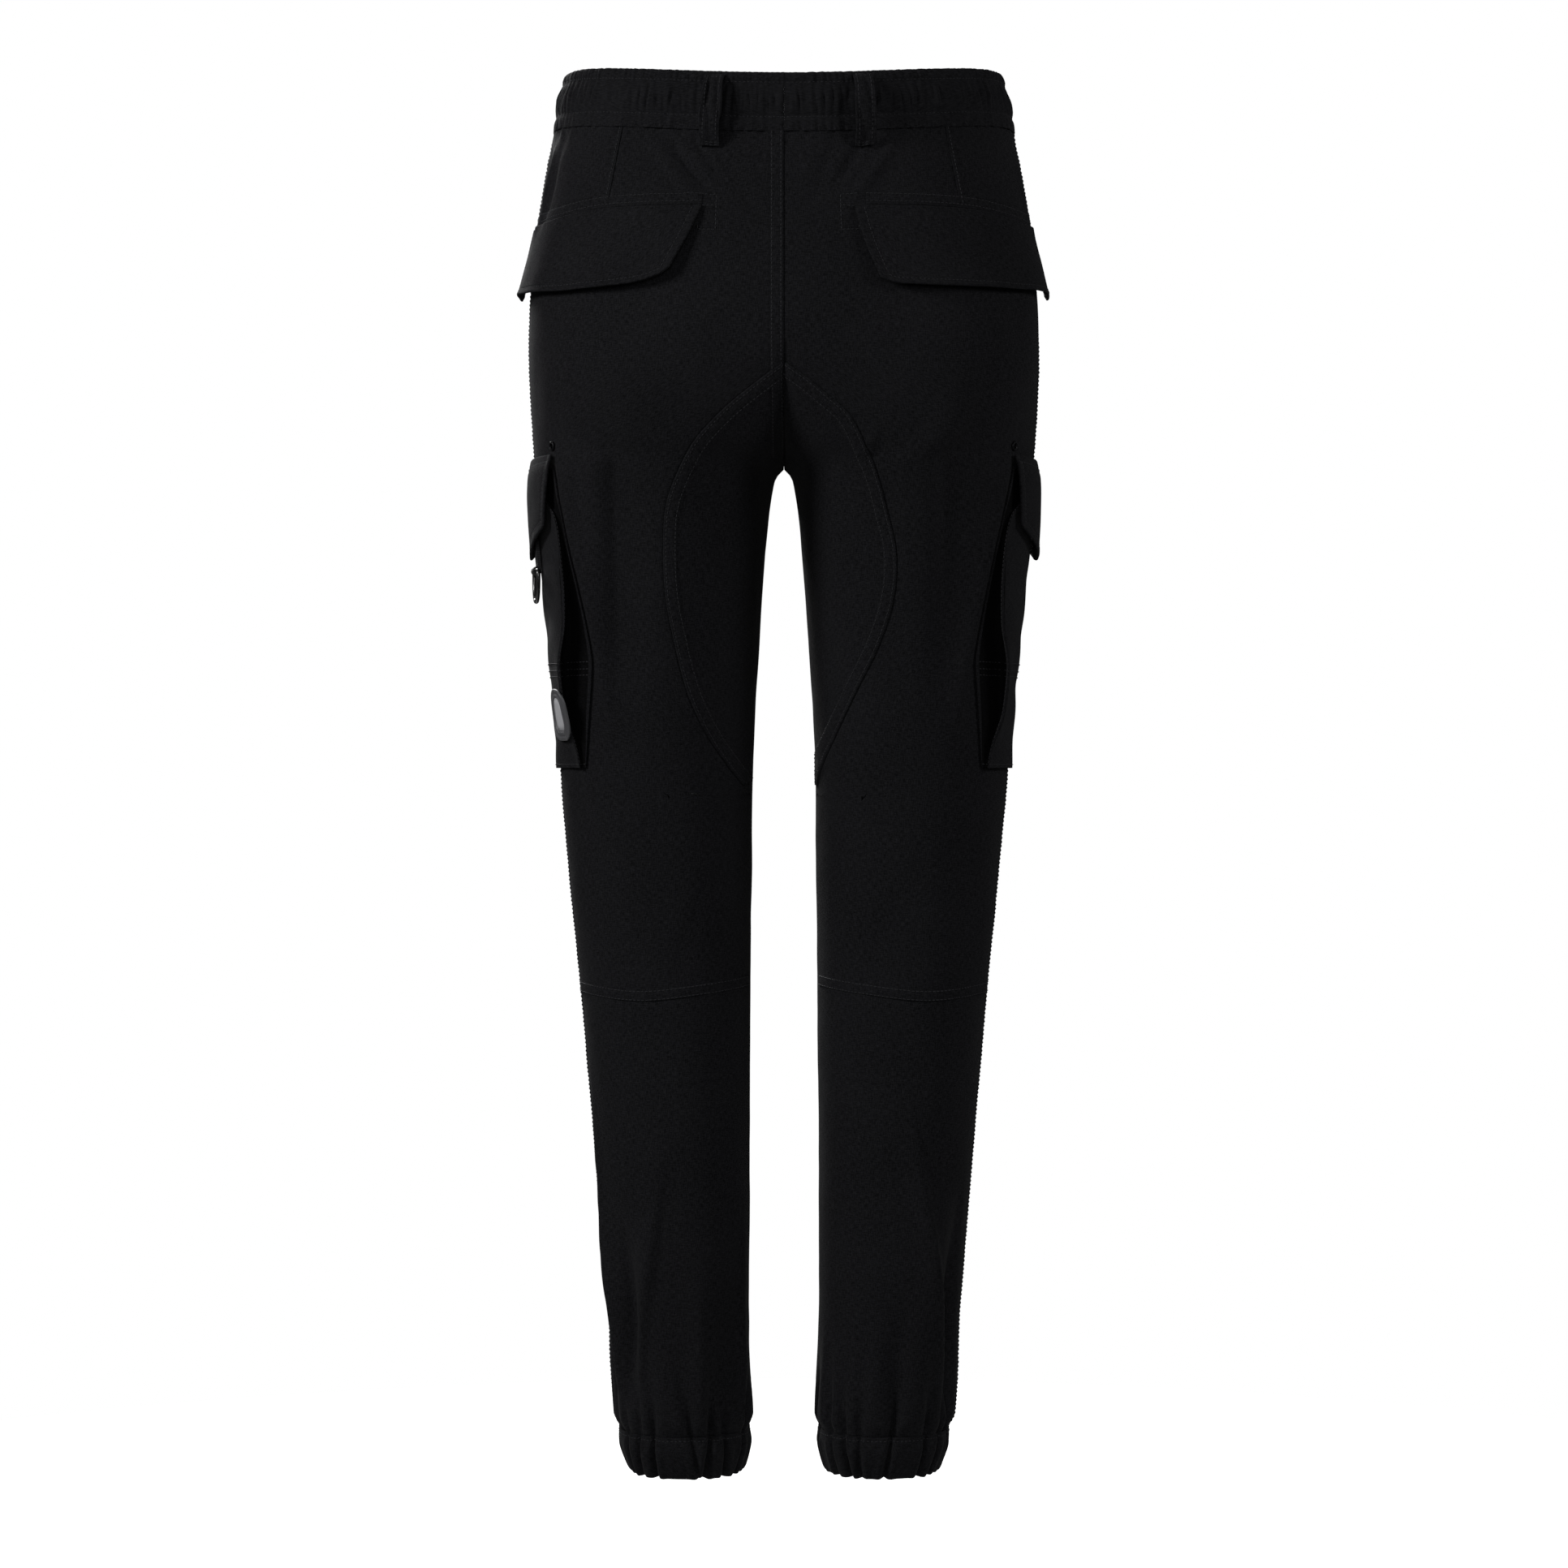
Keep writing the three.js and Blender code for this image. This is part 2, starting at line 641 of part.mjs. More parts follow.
// The bag's inner face: low over the side seam, rising to its folded edges.
function bagLift(u, level) {
  const fold = backU(read(cargo.rows, "level", "foldX", level), level);
  const toEdge = Math.min(Math.abs(u - 0.5) / (0.5 - fold), 1);
  return mix(cargo.faceLift, read(cargo.rows, "level", "edgeLift", level), toEdge ** cargo.edgeCurl);
}

// One part of the bag with the bellows along both of its edges.
function bag(name, side, levels) {
  const { faceCells } = cargo;
  const columns = faceCells + 4;
  const points = levels.map((level) => {
    const attach = backU(read(cargo.rows, "level", "attachX", level), level);
    const fold = backU(read(cargo.rows, "level", "foldX", level), level);
    const edgeLift = bagLift(fold, level);
    const run = (fold - attach) * bodyFrame(fold, level).perU;
    const footLift = cargo.attachLift + (cargo.ply * run) / Math.hypot(run, edgeLift);
    const midU = mix(attach, fold, 0.5);
    const midLift = mix(footLift, edgeLift, 0.5 * cargo.tuck);
    const face = Array.from({ length: faceCells + 1 }, (unused, i) => mix(fold, 1 - fold, i / faceCells));
    const path = [
      [attach, footLift],
      [midU, midLift],
      ...face.map((u) => [u, bagLift(u, level)]),
      [1 - midU, midLift],
      [1 - attach, footLift],
    ];
    return path.map(([u, lift]) => halfPoint(u, level, lift, side));
  });
  const { clamp } = THREE.MathUtils;
  const at = (i, j) => points[clamp(j, 0, levels.length - 1)][clamp(i, 0, columns)];
  const place = (i, j) => {
    const down = at(i, j + 1).clone().sub(at(i, j - 1)).normalize();
    const before = at(i, j).clone().sub(at(i - 1, j)).normalize();
    const after = at(i + 1, j).clone().sub(at(i, j)).normalize();
    const across = before.clone().add(after).normalize();
    const bend = Math.max(across.dot(i < columns ? after : before), cargo.sharpestBend);
    const out = new THREE.Vector3().crossVectors(across, down).normalize().multiplyScalar(-side);
    return {
      outer: at(i, j).clone().addScaledVector(out, cargo.ply / bend).toArray(),
      inner: at(i, j).toArray(),
    };
  };
  add(name, wall(columns, levels.length - 1, place));
}

function addCargoPocket(side) {
  const name = sideName(side);
  bag("cargo_bag_upper_" + name, side, [...cargo.upperRows, cargo.crossSeam + seamGap / 2]);
  bag("cargo_bag_lower_" + name, side, [cargo.crossSeam - seamGap / 2, ...cargo.lowerRows]);
  overlay("cargo_flap_" + name, side, cargoFlap.cells, cargoFlap.ply, (across, along) => {
    const toEdge = Math.abs(2 * across - 1);
    const bottom = mix(cargoFlap.midBottom, cargoFlap.sideBottom, toEdge ** cargoFlap.point);
    const level = mix(cargoFlap.top, bottom, along);
    const edge = backU(cargoFlap.backX, level);
    return { u: mix(edge, 1 - edge, across), level, lift: read(cargoFlap.lift, "along", "off", along) };
  });
  const profile = [
    [eyelet.bore, 0],
    [eyelet.rim, 0],
    [eyelet.rim, eyelet.outerHeight],
    [(eyelet.rim + eyelet.bore) / 2, eyelet.height],
    [eyelet.bore, eyelet.lipHeight],
    [eyelet.bore, 0],
  ].map(([radius, height]) => new THREE.Vector2(radius, height));
  const washer = new THREE.LatheGeometry(profile, eyelet.segments);
  const mesh = add("eyelet_" + name, washer, { color: colours.metal, roughness: 0.3, metalness: 1 });
  const u = backU(eyelet.x, eyelet.level);
  const { normal } = bodyFrame(u, eyelet.level);
  normal.x *= side;
  mesh.position.copy(halfPoint(u, eyelet.level, eyelet.stand, side));
  mesh.quaternion.setFromUnitVectors(new THREE.Vector3(0, 1, 0), normal);
}

// A closed loop of round stock through points.
function stockLoop(path, radius, sides) {
  const count = path.length;
  const positions = [];
  const index = [];
  const flat = new THREE.Vector3(0, 0, 1);
  path.forEach((point, i) => {
    const along = path[(i + 1) % count].clone().sub(path[(i + count - 1) % count]).normalize();
    const across = new THREE.Vector3().crossVectors(flat, along).normalize();
    for (let k = 0; k < sides; k += 1) {
      const angle = (2 * Math.PI * k) / sides;
      const corner = point
        .clone()
        .addScaledVector(across, radius * Math.cos(angle))
        .addScaledVector(flat, radius * Math.sin(angle));
      positions.push(...corner.toArray());
      const [a, b] = [i * sides + k, i * sides + ((k + 1) % sides)];
      const [c, d] = [((i + 1) % count) * sides + k, ((i + 1) % count) * sides + ((k + 1) % sides)];
      index.push(a, b, d, a, d, c);
    }
  });
  return closedGeometry(positions, index);
}

function addRing() {
  const eyeRadius = ring.stock / 2 + ring.play;
  const eyeOuter = eyeRadius + ringTab.eyeWall;
  const eyeDown = ringTab.length - eyeOuter;
  const u = backU(ringTab.x, ringTab.top);
  const outward = bodyFrame(u, ringTab.top - ringTab.length / 2).normal;
  const along = new THREE.Vector3(outward.y, -outward.x, 0).normalize();
  const holder = new THREE.Group();
  holder.position.copy(halfPoint(u, ringTab.top, ringTab.stand, 1));
  holder.quaternion.setFromRotationMatrix(
    new THREE.Matrix4().makeBasis(outward, new THREE.Vector3().crossVectors(along, outward), along),
  );
  trousers.add(holder);
  const outline = new THREE.Shape();
  outline.moveTo(0, 0);
  outline.lineTo(ringTab.ply, 0);
  const shoulder = Math.sqrt(eyeOuter ** 2 - (ringTab.ply - eyeOuter) ** 2);
  outline.lineTo(ringTab.ply, -eyeDown + shoulder);
  outline.absarc(eyeOuter, -eyeDown, eyeOuter, Math.atan2(shoulder, ringTab.ply - eyeOuter), -Math.PI, true);
  outline.lineTo(0, 0);
  const eye = new THREE.Path();
  eye.absarc(eyeOuter, -eyeDown, eyeRadius, 0, 2 * Math.PI, false);
  outline.holes.push(eye);
  const strap = new THREE.ExtrudeGeometry(outline, {
    depth: ringTab.width,
    bevelEnabled: false,
    curveSegments: ringTab.eyeSegments,
  });
  strap.translate(0, 0, -ringTab.width / 2);
  const tab = add("ring_tab", strap, { color: colours.webbing, roughness: 0.7 });
  holder.add(tab);
  holder.updateMatrixWorld(true);

  // The ring hangs straight down from the eye: x along its bar, y up.
  const centre = holder.localToWorld(new THREE.Vector3(eyeOuter, -eyeDown, 0));
  const outlineOfRing = new THREE.Shape();
  const { halfWidth, corner, stock } = ring;
  const drop = ring.depth - stock / 2;
  const [side, waist] = [-drop * ring.shoulder, halfWidth * ring.belly];
  outlineOfRing.moveTo(-halfWidth + corner, 0);
  outlineOfRing.lineTo(halfWidth - corner, 0);
  outlineOfRing.quadraticCurveTo(halfWidth, 0, halfWidth, -corner);
  outlineOfRing.bezierCurveTo(halfWidth, side, waist, -drop, 0, -drop);
  outlineOfRing.bezierCurveTo(-waist, -drop, -halfWidth, side, -halfWidth, -corner);
  outlineOfRing.quadraticCurveTo(-halfWidth, 0, -halfWidth + corner, 0);
  const path = outlineOfRing.getSpacedPoints(ring.steps).slice(0, ring.steps);
  const loop = stockLoop(path.map((point) => new THREE.Vector3(point.x, point.y, 0)), stock / 2, ring.sides);
  const mesh = add("d_ring", loop, { color: colours.ring, roughness: 0.2, metalness: 0.6 });
  mesh.position.copy(centre);
  const up = new THREE.Vector3(0, 0, 1);
  mesh.quaternion.setFromRotationMatrix(
    new THREE.Matrix4().makeBasis(along, up, new THREE.Vector3().crossVectors(along, up)),
  );
}

function addBadge() {
  const middle = backU(badge.x, badge.level);
  const { perU } = bodyFrame(middle, badge.level);
  const at = (angle, scale, height) => {
    const [c, s] = [Math.cos(angle), Math.sin(angle)];
    const reach = (Math.abs(c) ** badge.power + Math.abs(s) ** badge.power) ** (-1 / badge.power);
    const u = middle + (scale * reach * c * badge.halfWidth) / perU;
    const level = badge.level + scale * reach * s * badge.halfHeight;
    const lift = bagLift(u, level) + cargo.ply + badge.stand + height;
    return halfPoint(u, level, lift, 1).toArray();
  };
  const positions = [];
  const index = [];
  for (const { scale, height } of badge.rings) {
    for (let k = 0; k < badge.around; k += 1) {
      positions.push(...at((2 * Math.PI * k) / badge.around, scale, height));
    }
  }
  const faceCentre = positions.length / 3;
  positions.push(...at(0, 0, badge.rings.at(-1).height), ...at(0, 0, 0));
  const last = (badge.rings.length - 1) * badge.around;
  for (let k = 0; k < badge.around; k += 1) {
    const next = (k + 1) % badge.around;
    for (let row = 0; row < last; row += badge.around) {
      const above = row + badge.around;
      index.push(row + k, row + next, above + next, row + k, above + next, above + k);
    }
    index.push(last + k, last + next, faceCentre);
    index.push(next, k, faceCentre + 1);
  }
  add("badge", closedGeometry(positions, index), { color: colours.badge, roughness: 0.55 });
}

waistbandTube();
addBeltLoops();
for (const side of [1, -1]) {
  bodyPanels(side);
  cuffTube(side);
  addBackFlap(side);
  addCargoPocket(side);
}
addRing();
addBadge();

export default trousers;
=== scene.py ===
import bmesh
import bpy
import json
import math
import numpy as np
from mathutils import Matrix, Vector, noise


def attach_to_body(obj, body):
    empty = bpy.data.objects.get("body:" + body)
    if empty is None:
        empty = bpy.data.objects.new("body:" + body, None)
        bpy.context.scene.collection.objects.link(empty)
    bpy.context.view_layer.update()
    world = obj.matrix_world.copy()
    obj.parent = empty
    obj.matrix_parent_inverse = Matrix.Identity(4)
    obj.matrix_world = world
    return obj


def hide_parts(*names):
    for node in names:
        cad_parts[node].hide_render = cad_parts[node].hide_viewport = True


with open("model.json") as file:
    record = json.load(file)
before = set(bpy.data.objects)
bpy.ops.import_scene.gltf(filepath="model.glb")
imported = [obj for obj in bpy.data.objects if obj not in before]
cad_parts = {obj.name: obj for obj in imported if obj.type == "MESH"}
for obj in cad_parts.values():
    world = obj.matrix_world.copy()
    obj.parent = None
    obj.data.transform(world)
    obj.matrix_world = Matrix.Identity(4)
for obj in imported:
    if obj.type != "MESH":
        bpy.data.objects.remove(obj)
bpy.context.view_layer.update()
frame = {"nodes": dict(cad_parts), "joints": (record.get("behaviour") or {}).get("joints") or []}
mm = 0.001  # the garment's own sizes are in millimetres, and its meshes in metres

# ---- the worn form, from the same sizes as the solids ----
# A level is a height before the waist edge dips. u is the share of the way round one half of the trunk or one
# leg: 0 at the centre-back seam or inseam, 0.5 at the side, 1 at the centre front or inseam.

garment = {
    "crotchLevel": -270,
    "riseHeight": 90,
    "hipLevel": -140,
    "legSquareness": 2.2,
    "backDip": 16,
    "frontDip": 22,
    "dipFrom": -200,
    "dipTo": -20,
    "waistTop": 18,
    "waistSeam": -23,
    "cuffSeam": -976,
    "hem": -1007,
    "cloth": 1.2,
}

# level, outer, inner, depth, centre, squareness
sections = [
    (20, 159, 0, 110, 0, 2.2), (0, 164.5, 0, 112, 0, 2.2), (-22, 169, 0, 113, 0, 2.25),
    (-60, 176, 0, 117, 2, 2.35), (-110, 183.2, 0, 122, 4, 2.5), (-180, 187, 0, 125, 6, 2.75),
    (-230, 185.5, 0, 121, 7, 2.9), (-270, 183, 0.2, 113, 6, 3), (-275, 182.6, 5, 112, 6, 3),
    (-286, 181.8, 8, 109.5, 5, 3), (-307, 180, 11.1, 105, 4, 3), (-355, 175.5, 15.3, 98, 2, 3),
    (-403, 170.8, 18.3, 92, 0, 3), (-451, 166.8, 21.3, 87, -1, 3), (-499, 164.2, 23.1, 82, -2, 3),
    (-571, 158, 23.8, 76, -3, 3), (-667, 148.3, 24.9, 71, -3, 3), (-763, 140, 25.5, 67, 1, 3),
    (-859, 131.5, 25.6, 62, 5, 3), (-931, 125.2, 26, 58, 8, 3), (-984, 119.4, 26.5, 54, 8, 3),
    (-1008, 112, 31, 47, 8, 3),
]

# Seam lines: level, then the distance from the middle plane on the left and on the right leg.
gussetEdge = [
    (-205, 0.6, 0.6), (-217, 17, 18), (-228, 31, 31), (-240, 45, 45), (-260, 63.5, 56.5), (-283, 76, 66.5),
    (-306, 84, 73), (-337, 86, 80), (-370, 84.6, 78.5), (-403, 78.3, 68.5), (-438, 69.2, 52), (-468, 55.5, 38),
    (-493, 39, 27.5), (-512, 24, 24),
]
flapSeam = [(0, -82), (57, -83), (126, -87), (175, -96), (188, -98)]  # x, level
kneeSeam = [(25, -651), (55, -655), (104, -660), (148, -656)]
yokeEdge = [(-23, 115), (-87, 126)]  # level, x
frontMiddle = [(-23, 62), (-205, 64), (-270, 72), (-337, 82), (-450, 80), (-700, 76), (-976, 68)]


def readTable(rows, at, column=1):
    """Smooth reading of a table's column at values of its first column."""
    keys = np.array([row[0] for row in rows], float)
    values = np.array([row[column] for row in rows], float)
    if keys[0] > keys[-1]:
        keys, values = keys[::-1], values[::-1]
    at = np.clip(np.asarray(at, float), keys[0], keys[-1])
    i = np.clip(np.searchsorted(keys, at, side="right") - 1, 0, len(keys) - 2)
    before, after = np.maximum(i - 1, 0), np.minimum(i + 2, len(keys) - 1)
    span = keys[i + 1] - keys[i]
    t = (at - keys[i]) / span
    startSlope = (values[i + 1] - values[before]) / (keys[i + 1] - keys[before]) * span
    endSlope = (values[after] - values[i]) / (keys[after] - keys[i]) * span
    square, cube = t**2, t**3
    return (
        values[i] * (2 * cube - 3 * square + 1)
        + startSlope * (cube - 2 * square + t)
        + values[i + 1] * (3 * square - 2 * cube)
        + endSlope * (cube - square)
    )


def mix(a, b, t):
    return a + (b - a) * t


def smooth(value, low, high):
    t = np.clip((value - low) / (high - low), 0, 1)
    return t * t * (3 - 2 * t)


def rounded(value, squareness):
    return np.sign(value) * np.abs(value) ** (2 / squareness)


def bell(value, width):
    return np.exp(-((value / width) ** 2))


def alongPath(points):
    """How far along their line the points are."""
    return np.concatenate([[0], np.cumsum(np.linalg.norm(np.diff(points, axis=0), axis=1))])


def mirrored(side):
    """The factors that put points on their side: 1 for the left, -1 for the right."""
    side = np.asarray(side, float)
    return np.stack([side, np.ones_like(side), np.ones_like(side)], axis=-1)


uSteps = 401
levelStep = 1.0
ringSteps = 257
widest = 191  # mm from the middle plane
bodyLevels = np.arange(garment["waistTop"] + 2, garment["hem"] - 3, -levelStep)


def measureBody():
    """The worn form as a table of points by level and u, and u as a table by level and x."""
    level = bodyLevels[:, None]
    outer, inner, depth, centre, square = [readTable(sections, bodyLevels, c)[:, None] for c in range(1, 6)]
    inner = np.maximum(inner, 0)
    turn = np.linspace(0, math.pi, ringSteps)[None, :]
    x = mix(inner, outer, (1 - rounded(np.cos(turn), garment["legSquareness"])) / 2)
    ring = depth * rounded(np.sin(turn), garment["legSquareness"])
    wrap = np.where(turn < math.pi / 2, depth, ring)
    oval = depth * np.maximum(1 - (x / outer) ** square, 0) ** (1 / square)
    trunk = mix(wrap, oval, smooth(level, garment["crotchLevel"], garment["hipLevel"]))
    up = np.clip((level - garment["crotchLevel"]) / garment["riseHeight"], 0, 1)
    y = mix(ring, trunk, np.sqrt(1 - (1 - up) ** 2))
    steps = np.hypot(np.diff(x, axis=1), np.diff(y, axis=1))
    along = np.concatenate([np.zeros_like(level), np.cumsum(steps, axis=1)], axis=1)
    share = np.linspace(0, 1, uSteps // 2 + 1)
    halfX = np.array([np.interp(share * a[-1], a, row) for a, row in zip(along, x)])
    halfY = np.array([np.interp(share * a[-1], a, row) for a, row in zip(along, y)])
    allX = np.concatenate([halfX, halfX[:, -2::-1]], axis=1)
    allY = centre + np.concatenate([halfY, -halfY[:, -2::-1]], axis=1)
    dip = np.where(np.arange(uSteps)[None, :] < uSteps // 2, garment["backDip"], garment["frontDip"])
    fade = smooth(level, garment["dipFrom"], garment["dipTo"])
    allZ = level - dip * fade * (1 - np.minimum((allX / outer) ** 2, 1))
    reach = np.arange(widest)
    uOfX = np.array([np.interp(reach, row, share / 2) for row in halfX])
    return np.stack([allX, allY, allZ], axis=-1), uOfX


# In millimetres, but the strength and the share of the way round.
crotchEase = {"reach": 12, "width": 5, "strength": 1.6, "fade": 30, "seamShare": 0.04}


def easeCrotch(points):
    """Softens the form just above and below the fork of the legs, where the cloth bridges the step in depth."""
    e = crotchEase
    kernel = bell(np.arange(-e["reach"], e["reach"] + 1), e["width"])
    eased = points.copy()
    for column in range(points.shape[1]):
        for axis in (0, 1):
            padded = np.pad(points[:, column, axis], e["reach"], mode="edge")
            eased[:, column, axis] = np.convolve(padded, kernel / kernel.sum(), mode="valid")
    near = np.clip(e["strength"] - np.abs(bodyLevels - garment["crotchLevel"]) / e["fade"], 0, 1)[:, None]
    u = np.linspace(0, 1, points.shape[1])[None, :]
    offSeam = smooth(np.minimum(u, 1 - u), 0, e["seamShare"])
    return mix(points, eased, np.stack([near * offSeam, near * np.ones_like(u), 0 * near * u], axis=-1))


bodyPoints, bodyU = measureBody()
bodyPoints = easeCrotch(bodyPoints)
easedShare = np.linspace(0, 0.5, uSteps // 2 + 1)
bodyU = np.array([
    np.interp(np.arange(widest), row[:uSteps // 2 + 1, 0], easedShare) for row in bodyPoints
])


def lookUp(table, row, column):
    row = np.clip(row, 0, table.shape[0] - 1.001)
    column = np.clip(column, 0, table.shape[1] - 1.001)
    j, i = row.astype(int), column.astype(int)
    v, u = row - j, column - i
    if table.ndim == 3:
        v, u = v[..., None], u[..., None]
    top = mix(table[j, i], table[j, i + 1], u)
    return mix(top, mix(table[j + 1, i], table[j + 1, i + 1], u), v)


def onBody(u, level):
    u, level = np.broadcast_arrays(np.asarray(u, float), np.asarray(level, float))
    return lookUp(bodyPoints, (bodyLevels[0] - level) / levelStep, u * (uSteps - 1))


def uAt(x, level):
    x, level = np.broadcast_arrays(np.asarray(x, float), np.asarray(level, float))
    return lookUp(bodyU, (bodyLevels[0] - level) / levelStep, x)


metricStep = {"u": 0.004, "level": 1.5}


def metric(u, level):
    """The outward normal and the steps in space for a step of u and of level."""
    du, rise = metricStep["u"], metricStep["level"]
    u, level = np.broadcast_arrays(np.clip(np.asarray(u, float), 0, 1), np.asarray(level, float))
    low, high = np.maximum(u - du, 0), np.minimum(u + du, 1)
    perU = (onBody(high, level) - onBody(low, level)) / (high - low)[..., None]
    perLevel = (onBody(u, level + rise) - onBody(u, level - rise)) / (2 * rise)
    normal = np.cross(perLevel, perU)
    return normal / np.linalg.norm(normal, axis=-1, keepdims=True), perU, perLevel


def reachOfU(u, level):
    """The millimetres round the body for a whole step of u."""
    return np.linalg.norm(metric(u, level)[1], axis=-1)


# ---- folds, gathers and puckers ----
# By side: u, level, length, width, height above 0 or trough below, shift in u for each 100 mm down.
folds = {
    1: [
        (0.42, -880, 190, 13, 3.6, -0.004), (0.36, -885, 170, 12, -3, -0.01),
        (0.29, -890, 200, 14, 3.2, -0.012), (0.1, -900, 150, 15, -2.4, 0.02), (0.63, -870, 190, 15, -3, 0.008),
        (0.8, -900, 160, 14, 2.6, -0.01), (0.74, -655, 210, 20, -3.2, 0.08),
        (0.36, -560, 210, 18, -2.4, -0.03), (0.8, -370, 150, 20, -3, -0.08), (0.33, -150, 110, 16, -2, 0.02),
    ],
    -1: [
        (0.33, -880, 200, 14, 3.4, -0.01), (0.41, -890, 190, 13, -3.2, -0.006),
        (0.15, -920, 120, 12, -2.8, 0.03), (0.6, -880, 180, 15, 2.8, 0.01), (0.78, -890, 170, 15, -3, -0.012),
        (0.7, -665, 190, 20, -3, -0.07), (0.34, -570, 190, 18, -2.2, 0.03), (0.78, -375, 140, 20, -2.8, -0.08),
        (0.34, -155, 110, 16, -2, 0.02),
    ],
}
# The finer creases that the solids leave out: the same columns, then the side on which the flank is steep,
# 1 toward larger u and -1 toward smaller u.
creases = {
    1: [
        (0.42, -845, 300, 6, 5, -0.02, 1), (0.452, -890, 260, 8, -6, -0.012, 1),
        (0.365, -905, 210, 10, -7.5, 0.012, 1), (0.315, -885, 280, 8, 6.5, 0.045, -1),
        (0.2, -915, 130, 8, 2.6, -0.006, -1), (0.155, -925, 120, 8, -3.8, 0.012, 1),
        (0.085, -905, 210, 7, 4, 0.012, 1), (0.295, -330, 340, 20, -8.5, 0.004, 1),
        (0.36, -330, 300, 14, 2.6, 0.002, -1), (0.25, -420, 260, 16, 1.6, 0.01, 1),
        (0.37, -470, 150, 7, 1.4, -0.02, 1), (0.14, -54, 72, 4.5, -4.2, -0.17, -1),
        (0.165, -60, 76, 5, 3.2, -0.18, 1), (0.112, -48, 60, 4, -3.2, -0.16, -1),
        (0.075, -62, 80, 5, -2.6, -0.12, 1), (0.42, -70, 92, 4.5, 2.4, 0.012, -1),
        (0.445, -75, 100, 4.5, -2.4, 0.01, 1), (0.395, -66, 84, 4, -1.8, 0.016, -1),
        (0.12, -330, 210, 11, 0.9, 0.05, 1), (0.2, -610, 130, 12, -1, 0.09, 1),
        (0.28, -690, 120, 11, -0.9, -0.07, 1), (0.9, -300, 90, 8, -1.6, -0.22, 1),
        (0.87, -330, 90, 8, 1.2, -0.2, -1), (0.83, -240, 80, 9, -1.3, -0.14, 1),
        (0.72, -600, 130, 12, 1.6, 0.07, 1), (0.68, -720, 120, 10, -1.4, -0.06, 1),
        (0.7, -900, 130, 7, 1.5, -0.01, 1), (0.92, -925, 110, 7, -1.5, 0.012, 1),
    ],
    -1: [
        (0.335, -852, 300, 7, 5.2, 0.06, 1), (0.42, -892, 240, 11, -7, 0.025, 1),
        (0.27, -925, 120, 8, -4, -0.01, 1), (0.22, -930, 100, 7, 2, 0.008, -1),
        (0.08, -935, 95, 7, 1.1, 0.014, -1), (0.285, -310, 310, 18, -7.5, 0.003, -1),
        (0.235, -300, 240, 16, 2.2, 0.004, -1), (0.25, -420, 240, 16, 1.5, 0.012, -1),
        (0.37, -465, 140, 7, 1.3, -0.018, -1), (0.1, -50, 62, 4, -3, -0.13, 1),
        (0.13, -57, 64, 4.5, 2.6, -0.15, -1), (0.06, -58, 80, 5, -1.6, -0.07, 1),
        (0.43, -72, 92, 4.5, 2, 0.01, 1), (0.455, -70, 92, 4.5, -2, 0.008, -1),
        (0.12, -330, 200, 11, 0.9, 0.05, -1), (0.17, -262, 40, 5, 1.2, 0.16, 1),
        (0.19, -268, 44, 5, -0.9, 0.16, -1), (0.22, -600, 140, 12, -1, -0.09, -1),
        (0.25, -705, 120, 11, -0.9, 0.06, -1), (0.9, -305, 90, 8, -1.6, -0.22, 1),
        (0.87, -335, 90, 8, 1.2, -0.2, -1), (0.84, -235, 80, 9, -1.3, -0.14, -1),
        (0.72, -615, 130, 12, 1.5, -0.07, -1), (0.7, -730, 120, 10, -1.4, 0.06, -1),
        (0.69, -905, 130, 7, -1.5, 0.01, -1), (0.9, -925, 110, 7, 1.4, -0.012, -1),
    ],
}
flanks = (1.9, 0.75)  # how much narrower a crease falls on its steep flank, and on the other

# The leg's cloth is drawn into a ridge beside the pocket's bellows: level, x.
pullLine = {
    "rows": [(-255, 167), (-276, 163), (-323, 153.8), (-371, 144.4), (-404, 138), (-418, 135.5), (-452, 130.3),
             (-485, 127)],
    "height": 2.6,
    "inset": 4,
    "width": 3,
    "slope": 9,
    "foot": (-488, -415),
    "head": (-300, -252),
}


def foldHeight(u, level, side):
    height = np.zeros(np.broadcast(u, level).shape)
    perU = reachOfU(u, level)
    p = pullLine
    line = uAt(readTable(p["rows"], level), level)
    for own in (u, 1 - u):
        reach = (line - own) * perU - p["inset"]
        share = bell(reach, np.where(reach > 0, p["slope"], p["width"]))
        height += p["height"] * share * smooth(level, *p["foot"]) * (1 - smooth(level, *p["head"]))
    for middle, centre, length, width, rise, lean, *steep in folds[side] + creases[side]:
        along = np.clip(2 * (level - centre) / length, -1, 1)
        across = (u - middle + lean * (level - centre) / 100) * perU / width
        if steep:
            across = across * np.where(across * steep[0] > 0, *flanks)
        height += rise * (1 - along**2) ** 2 * bell(across, 1)
    return height


legGathers = {
    "count": 17,
    "seeds": {1: 11, -1: 23},
    "depth": 10,
    "width": 2.4,
    "spread": 6.5,
    "reach": 78,
    "farthest": 1.3,
    "lean": 0.00035,
    "around": True,
    "atSeam": 0.42,  # the share of the depth at the seam, as deep as the cuff's own grooves
    "seamReach": 10,
    "puff": 3.4,
    "puffEnds": (14, 90),
}
waistGathers = {
    "count": 54,
    "seeds": {1: 5, -1: 8},
    "depth": 1.9,
    "width": 1.7,
    "spread": 3,
    "reach": 26,
    "farthest": 1.2,
    "lean": 0.0004,
    "around": False,
}
unevenness = 0.42


